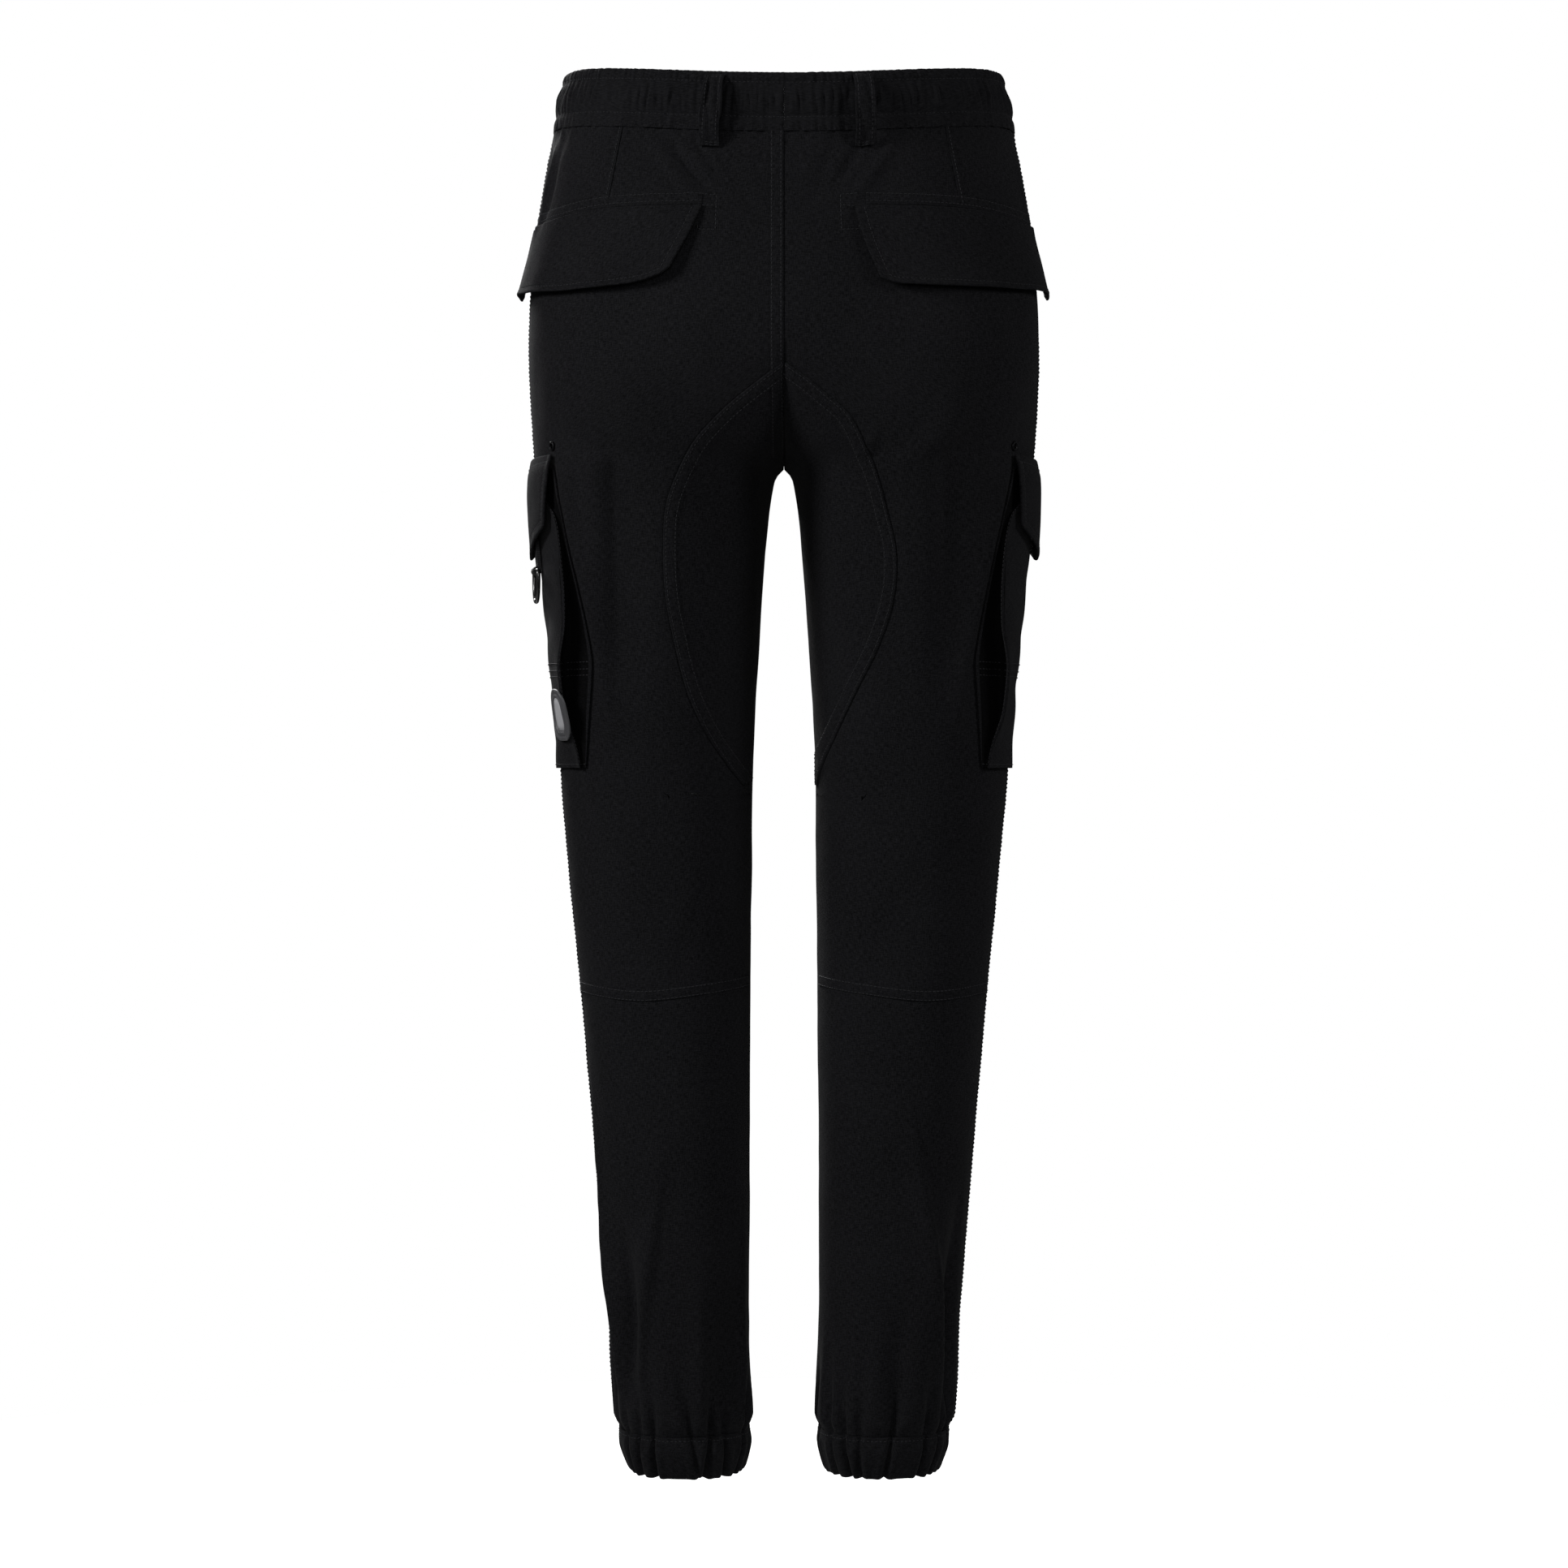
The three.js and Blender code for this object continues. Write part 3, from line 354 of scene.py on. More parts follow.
def unevenPlaces(gathers):
    """For each side, uneven places round a ring, in shares of it, and the depth, lean and run of each gather."""
    result = {}
    for side, seed in gathers["seeds"].items():
        draw = np.random.default_rng(seed)
        count = gathers["count"]
        steps = 1 + unevenness * draw.uniform(-1, 1, count)
        places = np.cumsum(steps) / steps.sum() - 0.5 * steps[0] / steps.sum()
        deep, lean = draw.uniform(0.55, 1, count), draw.uniform(-1, 1, count)
        result[side] = list(zip(places, deep, lean, draw.uniform(0.5, 1, count)))
    return result


cuffPlaces, waistPlaces = unevenPlaces(legGathers), unevenPlaces(waistGathers)


def grooves(u, away, perU, places, g):
    """V-shaped grooves that run from a gathered seam into the cloth; away is the distance from the seam."""
    height = np.zeros(np.shape(perU))
    for place, deep, lean, far in places:
        fade = np.clip(1 - away / (g["reach"] * far * g["farthest"]), 0, 1)
        width = g["width"] + g["spread"] * np.clip(away / g["reach"], 0, 1)
        gap = (u - place + 0.5) % 1 - 0.5 if g["around"] else u - place
        height -= g["depth"] * deep * fade**1.5 * bell((gap - lean * g["lean"] * away) * perU, width)
    return height


def gatherHeight(u, level, side):
    perU = reachOfU(u, level)
    above, below = level - garment["cuffSeam"], garment["waistSeam"] - level
    g = legGathers
    held = mix(g["atSeam"], 1, smooth(above, 0, g["seamReach"]))
    puff = g["puff"] * smooth(above, 0, g["seamReach"]) * (1 - smooth(above, *g["puffEnds"]))
    leg = held * grooves(u, above, perU, cuffPlaces[side], g)
    return leg + puff + grooves(u, below, perU, waistPlaces[side], waistGathers)


# The slack of soft cloth: height, breadth and length of its low uneven swells, and shifts that keep them apart.
swells = [(0.55, 34, 52, 9, 0), (0.22, 13, 19, 0, 4)]


def ripple(points, side):
    return np.array([
        sum(height * noise.noise(Vector((x * side / wide + shiftX, y / wide + shiftY, z / tall)))
            for height, wide, tall, shiftX, shiftY in swells)
        for x, y, z in points
    ])


joinedShare = 0.02  # of u, beside the middle seam, where the halves stay on the middle plane


def clothPoints(u, level, lift, side):
    """Points lifted off the worn form with its folds, mirrored to their side, and the outward normals."""
    u, level, lift = np.broadcast_arrays(*(np.asarray(v, float) for v in (u, level, lift)))
    base = onBody(u, level)
    normal = metric(u, level)[0]
    height = lift + foldHeight(u, level, side) + gatherHeight(u, level, side)
    height = height + ripple(base.reshape(-1, 3), side).reshape(height.shape)
    points = base + normal * height[..., None]
    joined = (level > garment["crotchLevel"]) * (1 - smooth(np.minimum(u, 1 - u), 0, joinedShare))
    points[..., 0] = np.maximum(mix(points[..., 0], base[..., 0], joined), 0)
    return points * mirrored(side), normal * mirrored(side)


def bandPoints(u, level, height, side):
    """Points lifted off the worn form itself, for the gathered bands, and the outward normals."""
    normal = metric(u, level)[0]
    return (onBody(u, level) + normal * height[..., None]) * mirrored(side), normal * mirrored(side)


# ---- materials ----

def srgb(hexColour):
    channels = [int(hexColour[i:i + 2], 16) / 255 for i in (1, 3, 5)]
    linear = [c / 12.92 if c <= 0.04045 else ((c + 0.055) / 1.055) ** 2.4 for c in channels]
    return (*linear, 1)


def setInputs(material, node, inputs):
    """Gives each named input of a node a value or another node's output."""
    for key, value in inputs.items():
        if isinstance(value, bpy.types.NodeSocket):
            material.node_tree.links.new(value, node.inputs[key])
        else:
            node.inputs[key].default_value = value
    return node


def addNode(material, kind, settings=None, inputs=None):
    node = material.node_tree.nodes.new(kind)
    for key, value in (settings or {}).items():
        setattr(node, key, value)
    return setInputs(material, node, inputs or {})


def newMaterial(name):
    material = bpy.data.materials.new(name)
    material.use_nodes = True
    return material, material.node_tree.nodes["Principled BSDF"]


def objectPlace(material):
    return addNode(material, "ShaderNodeTexCoord").outputs["Object"]


def grain(material, place, settings=None, **inputs):
    return addNode(material, "ShaderNodeTexNoise", settings, {"Vector": place, **inputs}).outputs[0]


def added(material, first, second):
    return addNode(material, "ShaderNodeMath", {"operation": "ADD"}, {0: first, 1: second}).outputs[0]


def ranged(material, value, fromRange, toRange):
    ends = dict(zip(("From Min", "From Max", "To Min", "To Max"), (*fromRange, *toRange)))
    return addNode(material, "ShaderNodeMapRange", inputs={"Value": value, **ends}).outputs[0]


def twoTones(material, share, dark, light):
    settings = {"data_type": "RGBA"}
    return addNode(material, "ShaderNodeMix", settings, {0: share, 6: srgb(dark), 7: srgb(light)}).outputs[2]


def bumps(material, height, strength, depth):
    """Relief in the shading only, depth in millimetres."""
    inputs = {"Height": height, "Strength": strength, "Distance": depth * mm}
    return addNode(material, "ShaderNodeBump", inputs=inputs).outputs[0]


# Cotton plain weave of twill weight, piece-dyed black and a little heathered: matt, with a soft sheen at
# grazing angles.
clothLook = {
    "dark": "#070708",
    "light": "#18181a",
    "threadGap": 0.6,  # mm; real threads are 0.35 mm apart, too fine to show
    "slub": 4,  # mm
    "weaveDepth": 0.16,
    "wearScale": 16.0,
    "roughness": (0.95, 0.8),  # between the threads and on them
    "sheen": 0.012,
}


def wovenCloth(name, look):
    material, shader = newMaterial(name)
    uv = addNode(material, "ShaderNodeUVMap", {"uv_map": "cloth"}).outputs["UV"]
    thread, slub = 1 / (look["threadGap"] * mm), 1 / (look["slub"] * mm)
    threads = []
    for scale in ((thread, slub, 1), (slub, thread, 1)):
        at = addNode(material, "ShaderNodeMapping", inputs={"Vector": uv, "Scale": scale}).outputs["Vector"]
        flat = {"noise_dimensions": "2D"}
        threads.append(grain(material, at, flat, Scale=1.0, Detail=2.0, Roughness=0.55))
    weave = added(material, *threads)
    wear = grain(material, objectPlace(material), Scale=look["wearScale"], Detail=4.0)
    weaveTone = ranged(material, weave, (0.75, 1.3), (0.0, 0.85))
    tone = added(material, weaveTone, ranged(material, wear, (0.35, 0.7), (0.0, 0.15)))
    setInputs(material, shader, {
        "Base Color": twoTones(material, tone, look["dark"], look["light"]),
        "Roughness": ranged(material, weave, (0.6, 1.4), look["roughness"]),
        "Normal": bumps(material, weave, 0.7, look["weaveDepth"]),
        "Sheen Weight": look["sheen"],
        "Sheen Roughness": 0.45,
        "Specular IOR Level": 0.035,
    })
    return material


def grainyMaterial(name, dark, light, size, roughness, metallic=0.0, coat=0.0, depth=0.05, gloss=0.4):
    """A moulded, spun or painted finish: two close tones and a fine grain, whose size is in millimetres."""
    material, shader = newMaterial(name)
    speck = grain(material, objectPlace(material), Scale=1 / (size * mm), Detail=3.0)
    setInputs(material, shader, {
        "Base Color": twoTones(material, speck, dark, light),
        "Roughness": ranged(material, speck, (0.3, 0.7), roughness),
        "Normal": bumps(material, speck, 0.4, depth),
        "Metallic": metallic,
        "Coat Weight": coat,
        "Specular IOR Level": gloss,
    })
    return material


def wovenWebbing(name, dark, light, rib):
    """Nylon webbing: close ribs across the band, with a slight gloss on each."""
    material, shader = newMaterial(name)
    scale = math.pi / (10 * rib * mm)
    inputs = {"Vector": objectPlace(material), "Scale": scale, "Distortion": 0.6, "Detail": 1.0}
    ribs = addNode(material, "ShaderNodeTexWave", {"bands_direction": "Z"}, inputs).outputs[1]
    setInputs(material, shader, {
        "Base Color": twoTones(material, ribs, dark, light),
        "Normal": bumps(material, ribs, 0.8, 0.25),
        "Roughness": 0.6,
        "Specular IOR Level": 0.12,
    })
    return material


clothMaterial = wovenCloth("black_cotton_plain_weave", clothLook)
# The bellows get a darker copy of the woven cloth with no sheen: painted shade, standing in for the deep shadow
# in the opening beside each bag, so that it reads as a recess.
bellowsShadeMaterial = wovenCloth("black_cloth_painted_shade", {
    **clothLook, "dark": "#020202", "light": "#070708", "sheen": 0.0})
threadMaterial = grainyMaterial("spun_polyester_thread", "#19191b", "#28282a", 0.4, (0.55, 0.75), gloss=0.08)
webbingMaterial = wovenWebbing("black_nylon_webbing", "#0a0a0b", "#1c1c1e", 1.5)
# Die-cast zinc under gloss black enamel, so it shows sharp highlights.
ringMaterial = grainyMaterial(
    "gloss_black_enamel", "#060607", "#0b0b0c", 0.8, (0.25, 0.35), coat=0.25, depth=0.01)
# Plated steel, dulled: a grey metal with soft highlights.
eyeletMaterial = grainyMaterial("dull_plated_steel", "#101011", "#1f1f21", 0.5, (0.35, 0.5), metallic=1.0)
# Moulded PVC rubber, satin; the badge's face is the same rubber in grey.
rimMaterial = grainyMaterial("moulded_dark_rubber", "#2b2b2d", "#3b3b3e", 0.6, (0.42, 0.6))
faceMaterial = grainyMaterial("moulded_grey_rubber", "#7e7e81", "#8f8f92", 0.6, (0.5, 0.65))
print("materials made")


# ---- cloth pieces as grids on the worn form ----

sewnOn = {}  # seam strips, by the panel that they are sewn on
stitchLines = []


def finishPiece(piece, material, replaced=(), body="trousers"):
    piece.data.materials.append(material)
    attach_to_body(piece, body)
    if replaced:
        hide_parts(*replaced)
    return piece


def linkedObject(name, data):
    piece = bpy.data.objects.new(name, data)
    bpy.context.scene.collection.objects.link(piece)
    return piece


def meshObject(name, bm):
    """A smooth-shaded object from a bmesh, which is freed."""
    mesh = bpy.data.meshes.new(name)
    bm.to_mesh(mesh)
    bm.free()
    mesh.polygons.foreach_set("use_smooth", [True] * len(mesh.polygons))
    return linkedObject(name, mesh)


def clothGrid(name, cells, place, keep=None, around=False, second=None):
    """A grid of cloth. place(i, j) gives the points in millimetres and the outward normals; keep(i, j) says
    which cells there are and second(i, j) which have the piece's second material. Its UV map is in metres of
    cloth. Returns the object and its cut's width, length and area."""
    columns, rows = cells
    bm = bmesh.new()
    bmesh.ops.create_grid(bm, x_segments=columns, y_segments=rows, size=1)
    flat = np.array([v.co[:2] for v in bm.verts])
    i = np.rint((flat[:, 0] + 1) / 2 * columns)
    j = np.rint((1 - flat[:, 1]) / 2 * rows)
    order = np.lexsort((i, j)).reshape(rows + 1, columns + 1)
    i, j = i[order], j[order]
    points, outward = place(i, j)
    acrossSteps = np.linalg.norm(np.diff(points, axis=1), axis=-1)
    downSteps = np.linalg.norm(np.diff(points, axis=0), axis=-1)
    across = np.concatenate([np.zeros((rows + 1, 1)), np.cumsum(acrossSteps, axis=1)], axis=1)
    down = np.concatenate([np.zeros(1), np.cumsum(downSteps[:, columns // 2])])
    across -= across[:, columns // 2][:, None]
    verts = list(bm.verts)
    for index, v in enumerate(order.ravel()):
        verts[v].co = points.reshape(-1, 3)[index] * mm
    uvs = np.zeros((len(verts), 2))
    uvs[order.ravel(), 0] = across.ravel() * mm
    uvs[order.ravel(), 1] = -np.repeat(down, columns + 1) * mm
    bm.verts.index_update()
    layer = bm.loops.layers.uv.new("cloth")
    cell = np.zeros((len(verts), 2))
    cell[order.ravel(), 0], cell[order.ravel(), 1] = i.ravel(), j.ravel()
    gone = []
    for face in bm.faces:
        at = [loop.vert.index for loop in face.loops]
        for loop, index in zip(face.loops, at):
            loop[layer].uv = uvs[index]
        if keep is not None and not keep(*cell[at].min(axis=0)):
            gone.append(face)
        if second is not None and second(*cell[at].min(axis=0)):
            face.material_index = 1
    bmesh.ops.delete(bm, geom=gone, context="FACES")
    bm.normal_update()
    bm.faces.ensure_lookup_table()
    middle = bm.faces[len(bm.faces) // 2]
    facing = outward.reshape(-1, 3)[np.flatnonzero(order.ravel() == middle.verts[0].index)[0]]
    if middle.normal.dot(Vector(facing)) < 0:
        bmesh.ops.reverse_faces(bm, faces=bm.faces)
    if around:
        bmesh.ops.remove_doubles(bm, verts=bm.verts, dist=0.01 * mm)
    area = sum(face.calc_area() for face in bm.faces)
    width, length = acrossSteps.sum(axis=1).max() * mm, downSteps.sum(axis=0).max() * mm
    return meshObject(name, bm), (width, length, area)


def dressCloth(piece, wall, nodes=(), rim=0.4):
    """Gives a sheet its thickness, its cut edges a small round, and its cloth."""
    solid = piece.modifiers.new("thickness", "SOLIDIFY")
    solid.thickness = wall * mm
    solid.offset = -1
    edge = piece.modifiers.new("edge", "BEVEL")
    edge.width = wall * rim * mm
    edge.segments = 2
    edge.limit_method = "ANGLE"
    edge.angle_limit = math.radians(62)
    finishPiece(piece, clothMaterial, nodes)


def dressStrip(piece, panel, rim=0.4):
    """Dresses a narrow strip and sews it on its panel."""
    dressCloth(piece, seamStrip["wall"], rim=rim)
    sewnOn.setdefault(panel, []).append(piece)


def declare(cut, fullness=1.0):
    width, length, area = cut
    width *= fullness


def gridSeams(value, lines, cells, argument):
    """Between which lines a column or row runs, and where: the value of its line for the argument."""
    result = np.zeros(np.broadcast(value, argument).shape)
    start = 0
    for k, count in enumerate(cells):
        last = k == len(cells) - 1
        inside = (value >= start) & ((value <= start + count) if last else (value < start + count))
        t = (value - start) / count
        result = np.where(inside, mix(lines[k](argument), lines[k + 1](argument), t), result)
        start += count
    return result


def constant(value):
    return lambda argument: np.full(np.shape(argument), float(value))


waistLine = constant(garment["waistSeam"])
cuffLine = constant(garment["cuffSeam"])
sideColumn = {1: 1, -1: 2}  # of the tables that give both legs


def flapLine(x):
    return readTable(flapSeam, x)


def kneeLine(x):
    return readTable(kneeSeam, x)


def gussetLine(side, level):
    return uAt(readTable(gussetEdge, level, sideColumn[side]), level)


def gussetU(side):
    def edge(level):
        inside = (level <= gussetEdge[0][0]) & (level >= gussetEdge[-1][0])
        return np.where(inside, gussetLine(side, level), 0)
    return edge


def yokeU(side):
    def edge(level):
        own = uAt(readTable(yokeEdge, np.clip(level, yokeEdge[-1][0], yokeEdge[0][0])), level)
        return np.maximum(own, mix(gussetU(side)(level), 0.5, 0.45))
    return edge


settleRounds = 6  # u needs the level and the level needs x, so each is worked out from the other in turn


def panelPlace(side, lines, columnCells, rowLines, rowCells):
    def place(i, j):
        level = gridSeams(j, rowLines, rowCells, np.full(i.shape, 80.0))
        for _ in range(settleRounds):
            u = gridSeams(i, lines, columnCells, level)
            x = onBody(u, level)[..., 0]
            level = gridSeams(j, rowLines, rowCells, x)
        return clothPoints(u, level, 0, side)
    return place


panels = {
    "backCells": (38, 42),
    "backRows": (20, 176),
    "lowerCells": 84,
    "lowerRows": 100,
    "gussetCells": 26,
    "gussetRows": 96,
    "frontCells": (38, 30),
    "frontRows": (140, 76),
}


def bodyPanels(side, word):
    p = panels
    zero, half, one = constant(0), constant(0.5), constant(1)
    inner, outer = p["backCells"]
    upperRows = p["backRows"][0]
    edge, yoke = gussetU(side), yokeU(side)

    def middle(level):
        return 1 - uAt(readTable(frontMiddle, level), level)

    # name, node, the lines and cells across, the lines and cells down
    cuts = [
        ("back_panel_", "back_upper_", [edge, yoke, half], p["backCells"], [waistLine, flapLine, kneeLine],
         p["backRows"]),
        ("back_yoke_panel_", "back_yoke_", [yoke, half], (outer,), [waistLine, flapLine], (upperRows,)),
        ("gusset_panel_", "gusset_", [zero, edge], (p["gussetCells"],),
         [constant(gussetEdge[0][0]), constant(gussetEdge[-1][0])], (p["gussetRows"],)),
        ("back_lower_panel_", "back_lower_", [zero, half], (p["lowerCells"],), [kneeLine, cuffLine],
         (p["lowerRows"],)),
        ("front_panel_", "front_", [half, middle, one], p["frontCells"], [waistLine, kneeLine, cuffLine],
         p["frontRows"]),
    ]
    for name, node, lines, columns, rowLines, rows in cuts:
        place = panelPlace(side, lines, columns, rowLines, rows)
        keep = (lambda i, j: i < inner or j >= upperRows) if name == "back_panel_" else None
        piece, cut = clothGrid(name + word, (sum(columns), sum(rows)), place, keep=keep)
        dressCloth(piece, garment["cloth"], [node + word])
        declare(cut)


# ---- gathered waistband and cuffs ----

waistband = {
    "cells": (1080, 28),
    "wall": 2.4,
    "rows": [(18, 0.4), (16.5, 1.6), (12.5, 2), (9, 1.3), (0, 2.6), (-9, 2), (-13.5, 1), (-17, 1.3),
             (-24.2, 0.55)],
    "bottom": -24.2,
    "halfRound": 470,
    "stitchLevels": (10.5, -14),
    "stitchDent": (0.45, 0.9),  # depth and half width
    "rib": 2.4,
    "ribHeight": 1.1,
    "gather": 6.5,
    "fineGather": 3.7,
    "gatherHeight": 3.4,
    "gatherMiddle": (-2, 12.5),  # level and half height
    "lowGather": 0.45,
    "fullness": 1.25,
}


def waistbandLift(level, arc):
    """Close short ribs over the first stitch row, soft uneven gathers between the rows, puckers under them."""
    w = waistband

    def ripples(wide, tall, seed):
        spots = zip(arc.ravel(), level.ravel())
        return np.array([noise.noise(Vector((a / wide, z / tall, seed))) for a, z in spots]).reshape(arc.shape)

    topRow, (middle, halfHeight), (dent, dentWidth) = w["stitchLevels"][0], w["gatherMiddle"], w["stitchDent"]
    ribs = w["ribHeight"] * ripples(w["rib"], 60, 3) * smooth(level, topRow - 3, topRow + 1)
    between = np.clip(1 - np.abs(level - middle) / halfHeight, 0, 1) ** 0.6
    low = w["lowGather"] * (1 - smooth(level, -20, -12))
    fine = 0.5 * np.abs(ripples(w["fineGather"], 30, 2)) ** 0.8
    waves = np.abs(ripples(w["gather"], 55, 7)) ** 0.7 + fine - 0.45
    rows = dent * sum(bell(level - at, dentWidth) for at in w["stitchLevels"])
    return readTable(w["rows"], level) + ribs + w["gatherHeight"] * waves * (between + low) - rows


def waistbandAt(turn, level):
    """The band's outer face; turn runs from 0 at the centre back by the left side to 2."""
    side = np.where(turn <= 1, 1, -1)
    height = waistbandLift(level, turn * waistband["halfRound"])
    return bandPoints(np.where(turn <= 1, turn, 2 - turn), level, height, side)


def waistbandPiece():
    columns, rows = waistband["cells"]
    levels = np.linspace(garment["waistTop"], waistband["bottom"], rows + 1)

    def place(i, j):
        return waistbandAt(2 * i / columns, levels[j.astype(int)])

    piece, cut = clothGrid("waistband_cloth", (columns, rows), place, around=True)
    dressCloth(piece, waistband["wall"], ["waistband"])
    declare(cut, fullness=waistband["fullness"])
    turn = np.linspace(0, 2, 900)
    for at in waistband["stitchLevels"]:
        stitchLines.append(waistbandAt(turn, np.full(turn.shape, float(at))))


cuff = {
    "cells": (332, 21),
    "wall": 1.5,
    "top": 0.8,  # above the seam
    "rows": [(-976, 0.9), (-982, 1.7), (-996, 1.3), (-1004, 0.6), (-1007, -0.6)],
    "groove": 4.4,
    "width": 1.5,
    "lean": 0.0007,
    "ridge": 1.3,
    "ridgeAt": 5,
    "ridgeWidth": 2.6,
    "stitchBelow": 1.8,
    "turnBelow": 1.5,
    "turnIn": 11,
    "turnCells": (170, 3),
    "fullness": 1.2,
}


def cuffLift(u, level, side):
    """Deep uneven grooves under the leg's own gathers, with a soft ridge on either side of each."""
    c = cuff
    height = readTable(c["rows"], level)
    perU = reachOfU(u, level)
    below = garment["cuffSeam"] - level
    for place, deep, lean, far in cuffPlaces[side]:
        reach = np.abs(((u - place + 0.5) % 1 - 0.5 + lean * c["lean"] * below) * perU)
        height -= c["groove"] * deep * bell(reach, c["width"] * (0.8 + 0.5 * far))
        height += c["ridge"] * deep * bell(reach - c["ridgeAt"], c["ridgeWidth"]) * smooth(below, 2, 12)
    return height


def cuffPiece(side, word):
    c = cuff
    columns, rows = c["cells"]
    around, inward = c["turnCells"]
    levels = np.linspace(garment["cuffSeam"] + c["top"], garment["hem"], rows + 1)

    def cuffAt(u, level):
        return bandPoints(u, level, cuffLift(u, level, side), side)

    def place(i, j):
        return cuffAt(i / columns, levels[j.astype(int)])

    def turnedIn(i, j):
        """The gathered edge of the leg, turned in level inside the cuff's top."""
        u = i / around
        level = np.full(u.shape, garment["cuffSeam"] - c["turnBelow"])
        height = mix(cuffLift(u, level, side) - c["wall"] / 2, -c["turnIn"], j / inward)
        points = bandPoints(u, level, height, side)[0]
        return points, np.broadcast_to([0.0, 0.0, 1.0], points.shape)

    piece, cut = clothGrid("cuff_cloth_" + word, c["cells"], place, around=True)
    dressCloth(piece, c["wall"], ["cuff_" + word])
    declare(cut, fullness=c["fullness"])
    u = np.linspace(0, 1, 300)
    stitchLines.append(cuffAt(u, np.full(u.shape, garment["cuffSeam"] - c["stitchBelow"])))
    piece, _ = clothGrid("cuff_allowance_" + word, c["turnCells"], turnedIn, around=True)
    dressStrip(piece, "cuff_cloth_" + word)


# ---- sewn strips: felled seams, hems and folds that stand a little proud ----

def offsetPath(u, level, reach):
    """A path moved sideways over the cloth by a distance in millimetres, to the left of its run."""
    normal, perU, perLevel = metric(u, level)
    here = onBody(u, level)
    along = np.gradient(here, axis=0)
    along /= np.linalg.norm(along, axis=-1, keepdims=True)
    aside = np.cross(normal, along) * np.reshape(reach, (-1, 1))
    uu, ul, ll = (perU**2).sum(-1), (perU * perLevel).sum(-1), (perLevel**2).sum(-1)
    au, al = (aside * perU).sum(-1), (aside * perLevel).sum(-1)
    det = uu * ll - ul**2
    return u + (au * ll - al * ul) / det, level + (al * uu - au * ul) / det


seamStrip = {
    "wall": 0.8,
    "pucker": 0.22,
    "puckerLength": 6,
    "gap": 3,
    # share of the width and of the height, across the strip
    "profile": [(0, 0.0), (0.03, 0.75), (0.09, 1.0), (0.2, 0.72), (0.32, 0.95), (0.75, 0.85), (0.92, 0.6),
                (1, 0.1)],
}
threadLift = 0.12


def backPath(x, level, reach):
    """A path of the back, given by its x and level, moved sideways as seen from behind."""
    alongX, alongZ = np.gradient(x), np.gradient(level)
    size = np.hypot(alongX, alongZ)
    newX, newLevel = x + reach * alongZ / size, level - reach * alongX / size
    newX = np.maximum(newX, readTable(sections, newLevel, 2) + 0.6)
    return uAt(newX, newLevel), newLevel


def pathOf(u, level):
    return np.stack(np.broadcast_arrays(u, level), axis=-1)


def evenRun(path, gap, ends, least):
    """A path of (u, level) taken again at even steps, and how far along it each is."""
    raw = np.array(path, float)
    length = alongPath(onBody(raw[:, 0], raw[:, 1]))
    at = np.linspace(0, length[-1], max(int(length[-1] / gap) + ends, least))
    return np.interp(at, length, raw[:, 0]), np.interp(at, length, raw[:, 1]), at


def felledSeam(name, panel, side, path, width, rows, height, seenFlat=False):
    """A felled seam along a path of (u, level): a fold of cloth with stitch rows at shares of its width."""
    u, level, at = evenRun(path, seamStrip["gap"], 1, 5)
    shares, rises = np.array(seamStrip["profile"]).T
    rises = rises * height
    pucker = np.array([noise.noise(Vector((a / seamStrip["puckerLength"], side * 5, len(name)))) for a in at])
    middleX = onBody(u, level)[:, 0]

    def moved(reach):
        return backPath(middleX, level, reach) if seenFlat else offsetPath(u, level, reach)
    paths = np.array([moved(share * width * (1 + 0.05 * pucker)) for share in shares])

    def place(i, j):
        k, n = i.astype(int), j.astype(int)
        edge = (k > 0) & (k < len(shares) - 1)
        lift = rises[k] + seamStrip["pucker"] * pucker[n] * edge
        return clothPoints(paths[k, 0, n], paths[k, 1, n], lift, side)

    piece, _ = clothGrid(name, (len(shares) - 1, len(at) - 1), place)
    dressStrip(piece, panel, rim=0.3)
    for share in rows:
        lift = np.interp(share, shares, rises) + threadLift + seamStrip["pucker"] * pucker
        stitchLines.append(clothPoints(*moved(share * width), lift, side))


def stitchPath(side, path, lift=0.1):
    u, level, _ = evenRun(path, 1.5, 0, 3)
    stitchLines.append(clothPoints(u, level, lift, side))


def seamsOfSide(side, word):
    back = "back_panel_" + word
    level = np.linspace(gussetEdge[0][0] - 0.5, gussetEdge[-1][0] + 8, 160)
    felledSeam("gusset_seam_" + word, "gusset_panel_" + word, side, pathOf(gussetLine(side, level), level), 9.5,
               (0.2, 0.88), 1.3, seenFlat=True)
    x = np.linspace(58, 187, 60)
    felledSeam("flap_seam_" + word, back, side, pathOf(uAt(x, flapLine(x)), flapLine(x)), -9, (0.3, 0.92), 0.7)
    x = np.linspace(26, 148, 60)
    path = np.concatenate([pathOf(uAt(x, kneeLine(x)), kneeLine(x)), [(0.5, kneeSeam[-1][1])]])
    felledSeam("knee_seam_" + word, back, side, path, -8, (0.12, 0.9), 0.7)
    level = np.linspace(-24, -85, 30)
    felledSeam("yoke_seam_" + word, "back_yoke_panel_" + word, side, pathOf(yokeU(side)(level), level), -4.2,
               (0.55,), 0.7)
    level = np.linspace(-24, -975, 320)
    felledSeam("side_seam_" + word, "front_panel_" + word, side, pathOf(0.5, level), 6, (0.3, 0.85), 0.6)


centreBack = {"width": 9.5, "top": -24, "bottom": -268, "offMiddle": 0.0006}


def centreBackSeam():
    level = np.linspace(centreBack["top"], centreBack["bottom"], 110)
    path = pathOf(centreBack["offMiddle"], level)
    felledSeam("centre_back_seam", "back_panel_l", 1, path, -centreBack["width"], (0.2, 0.88), 1.0,
               seenFlat=True)


middleTape = {"half": 5, "under": -1.7, "bottom": -266, "cells": (4, 70)}


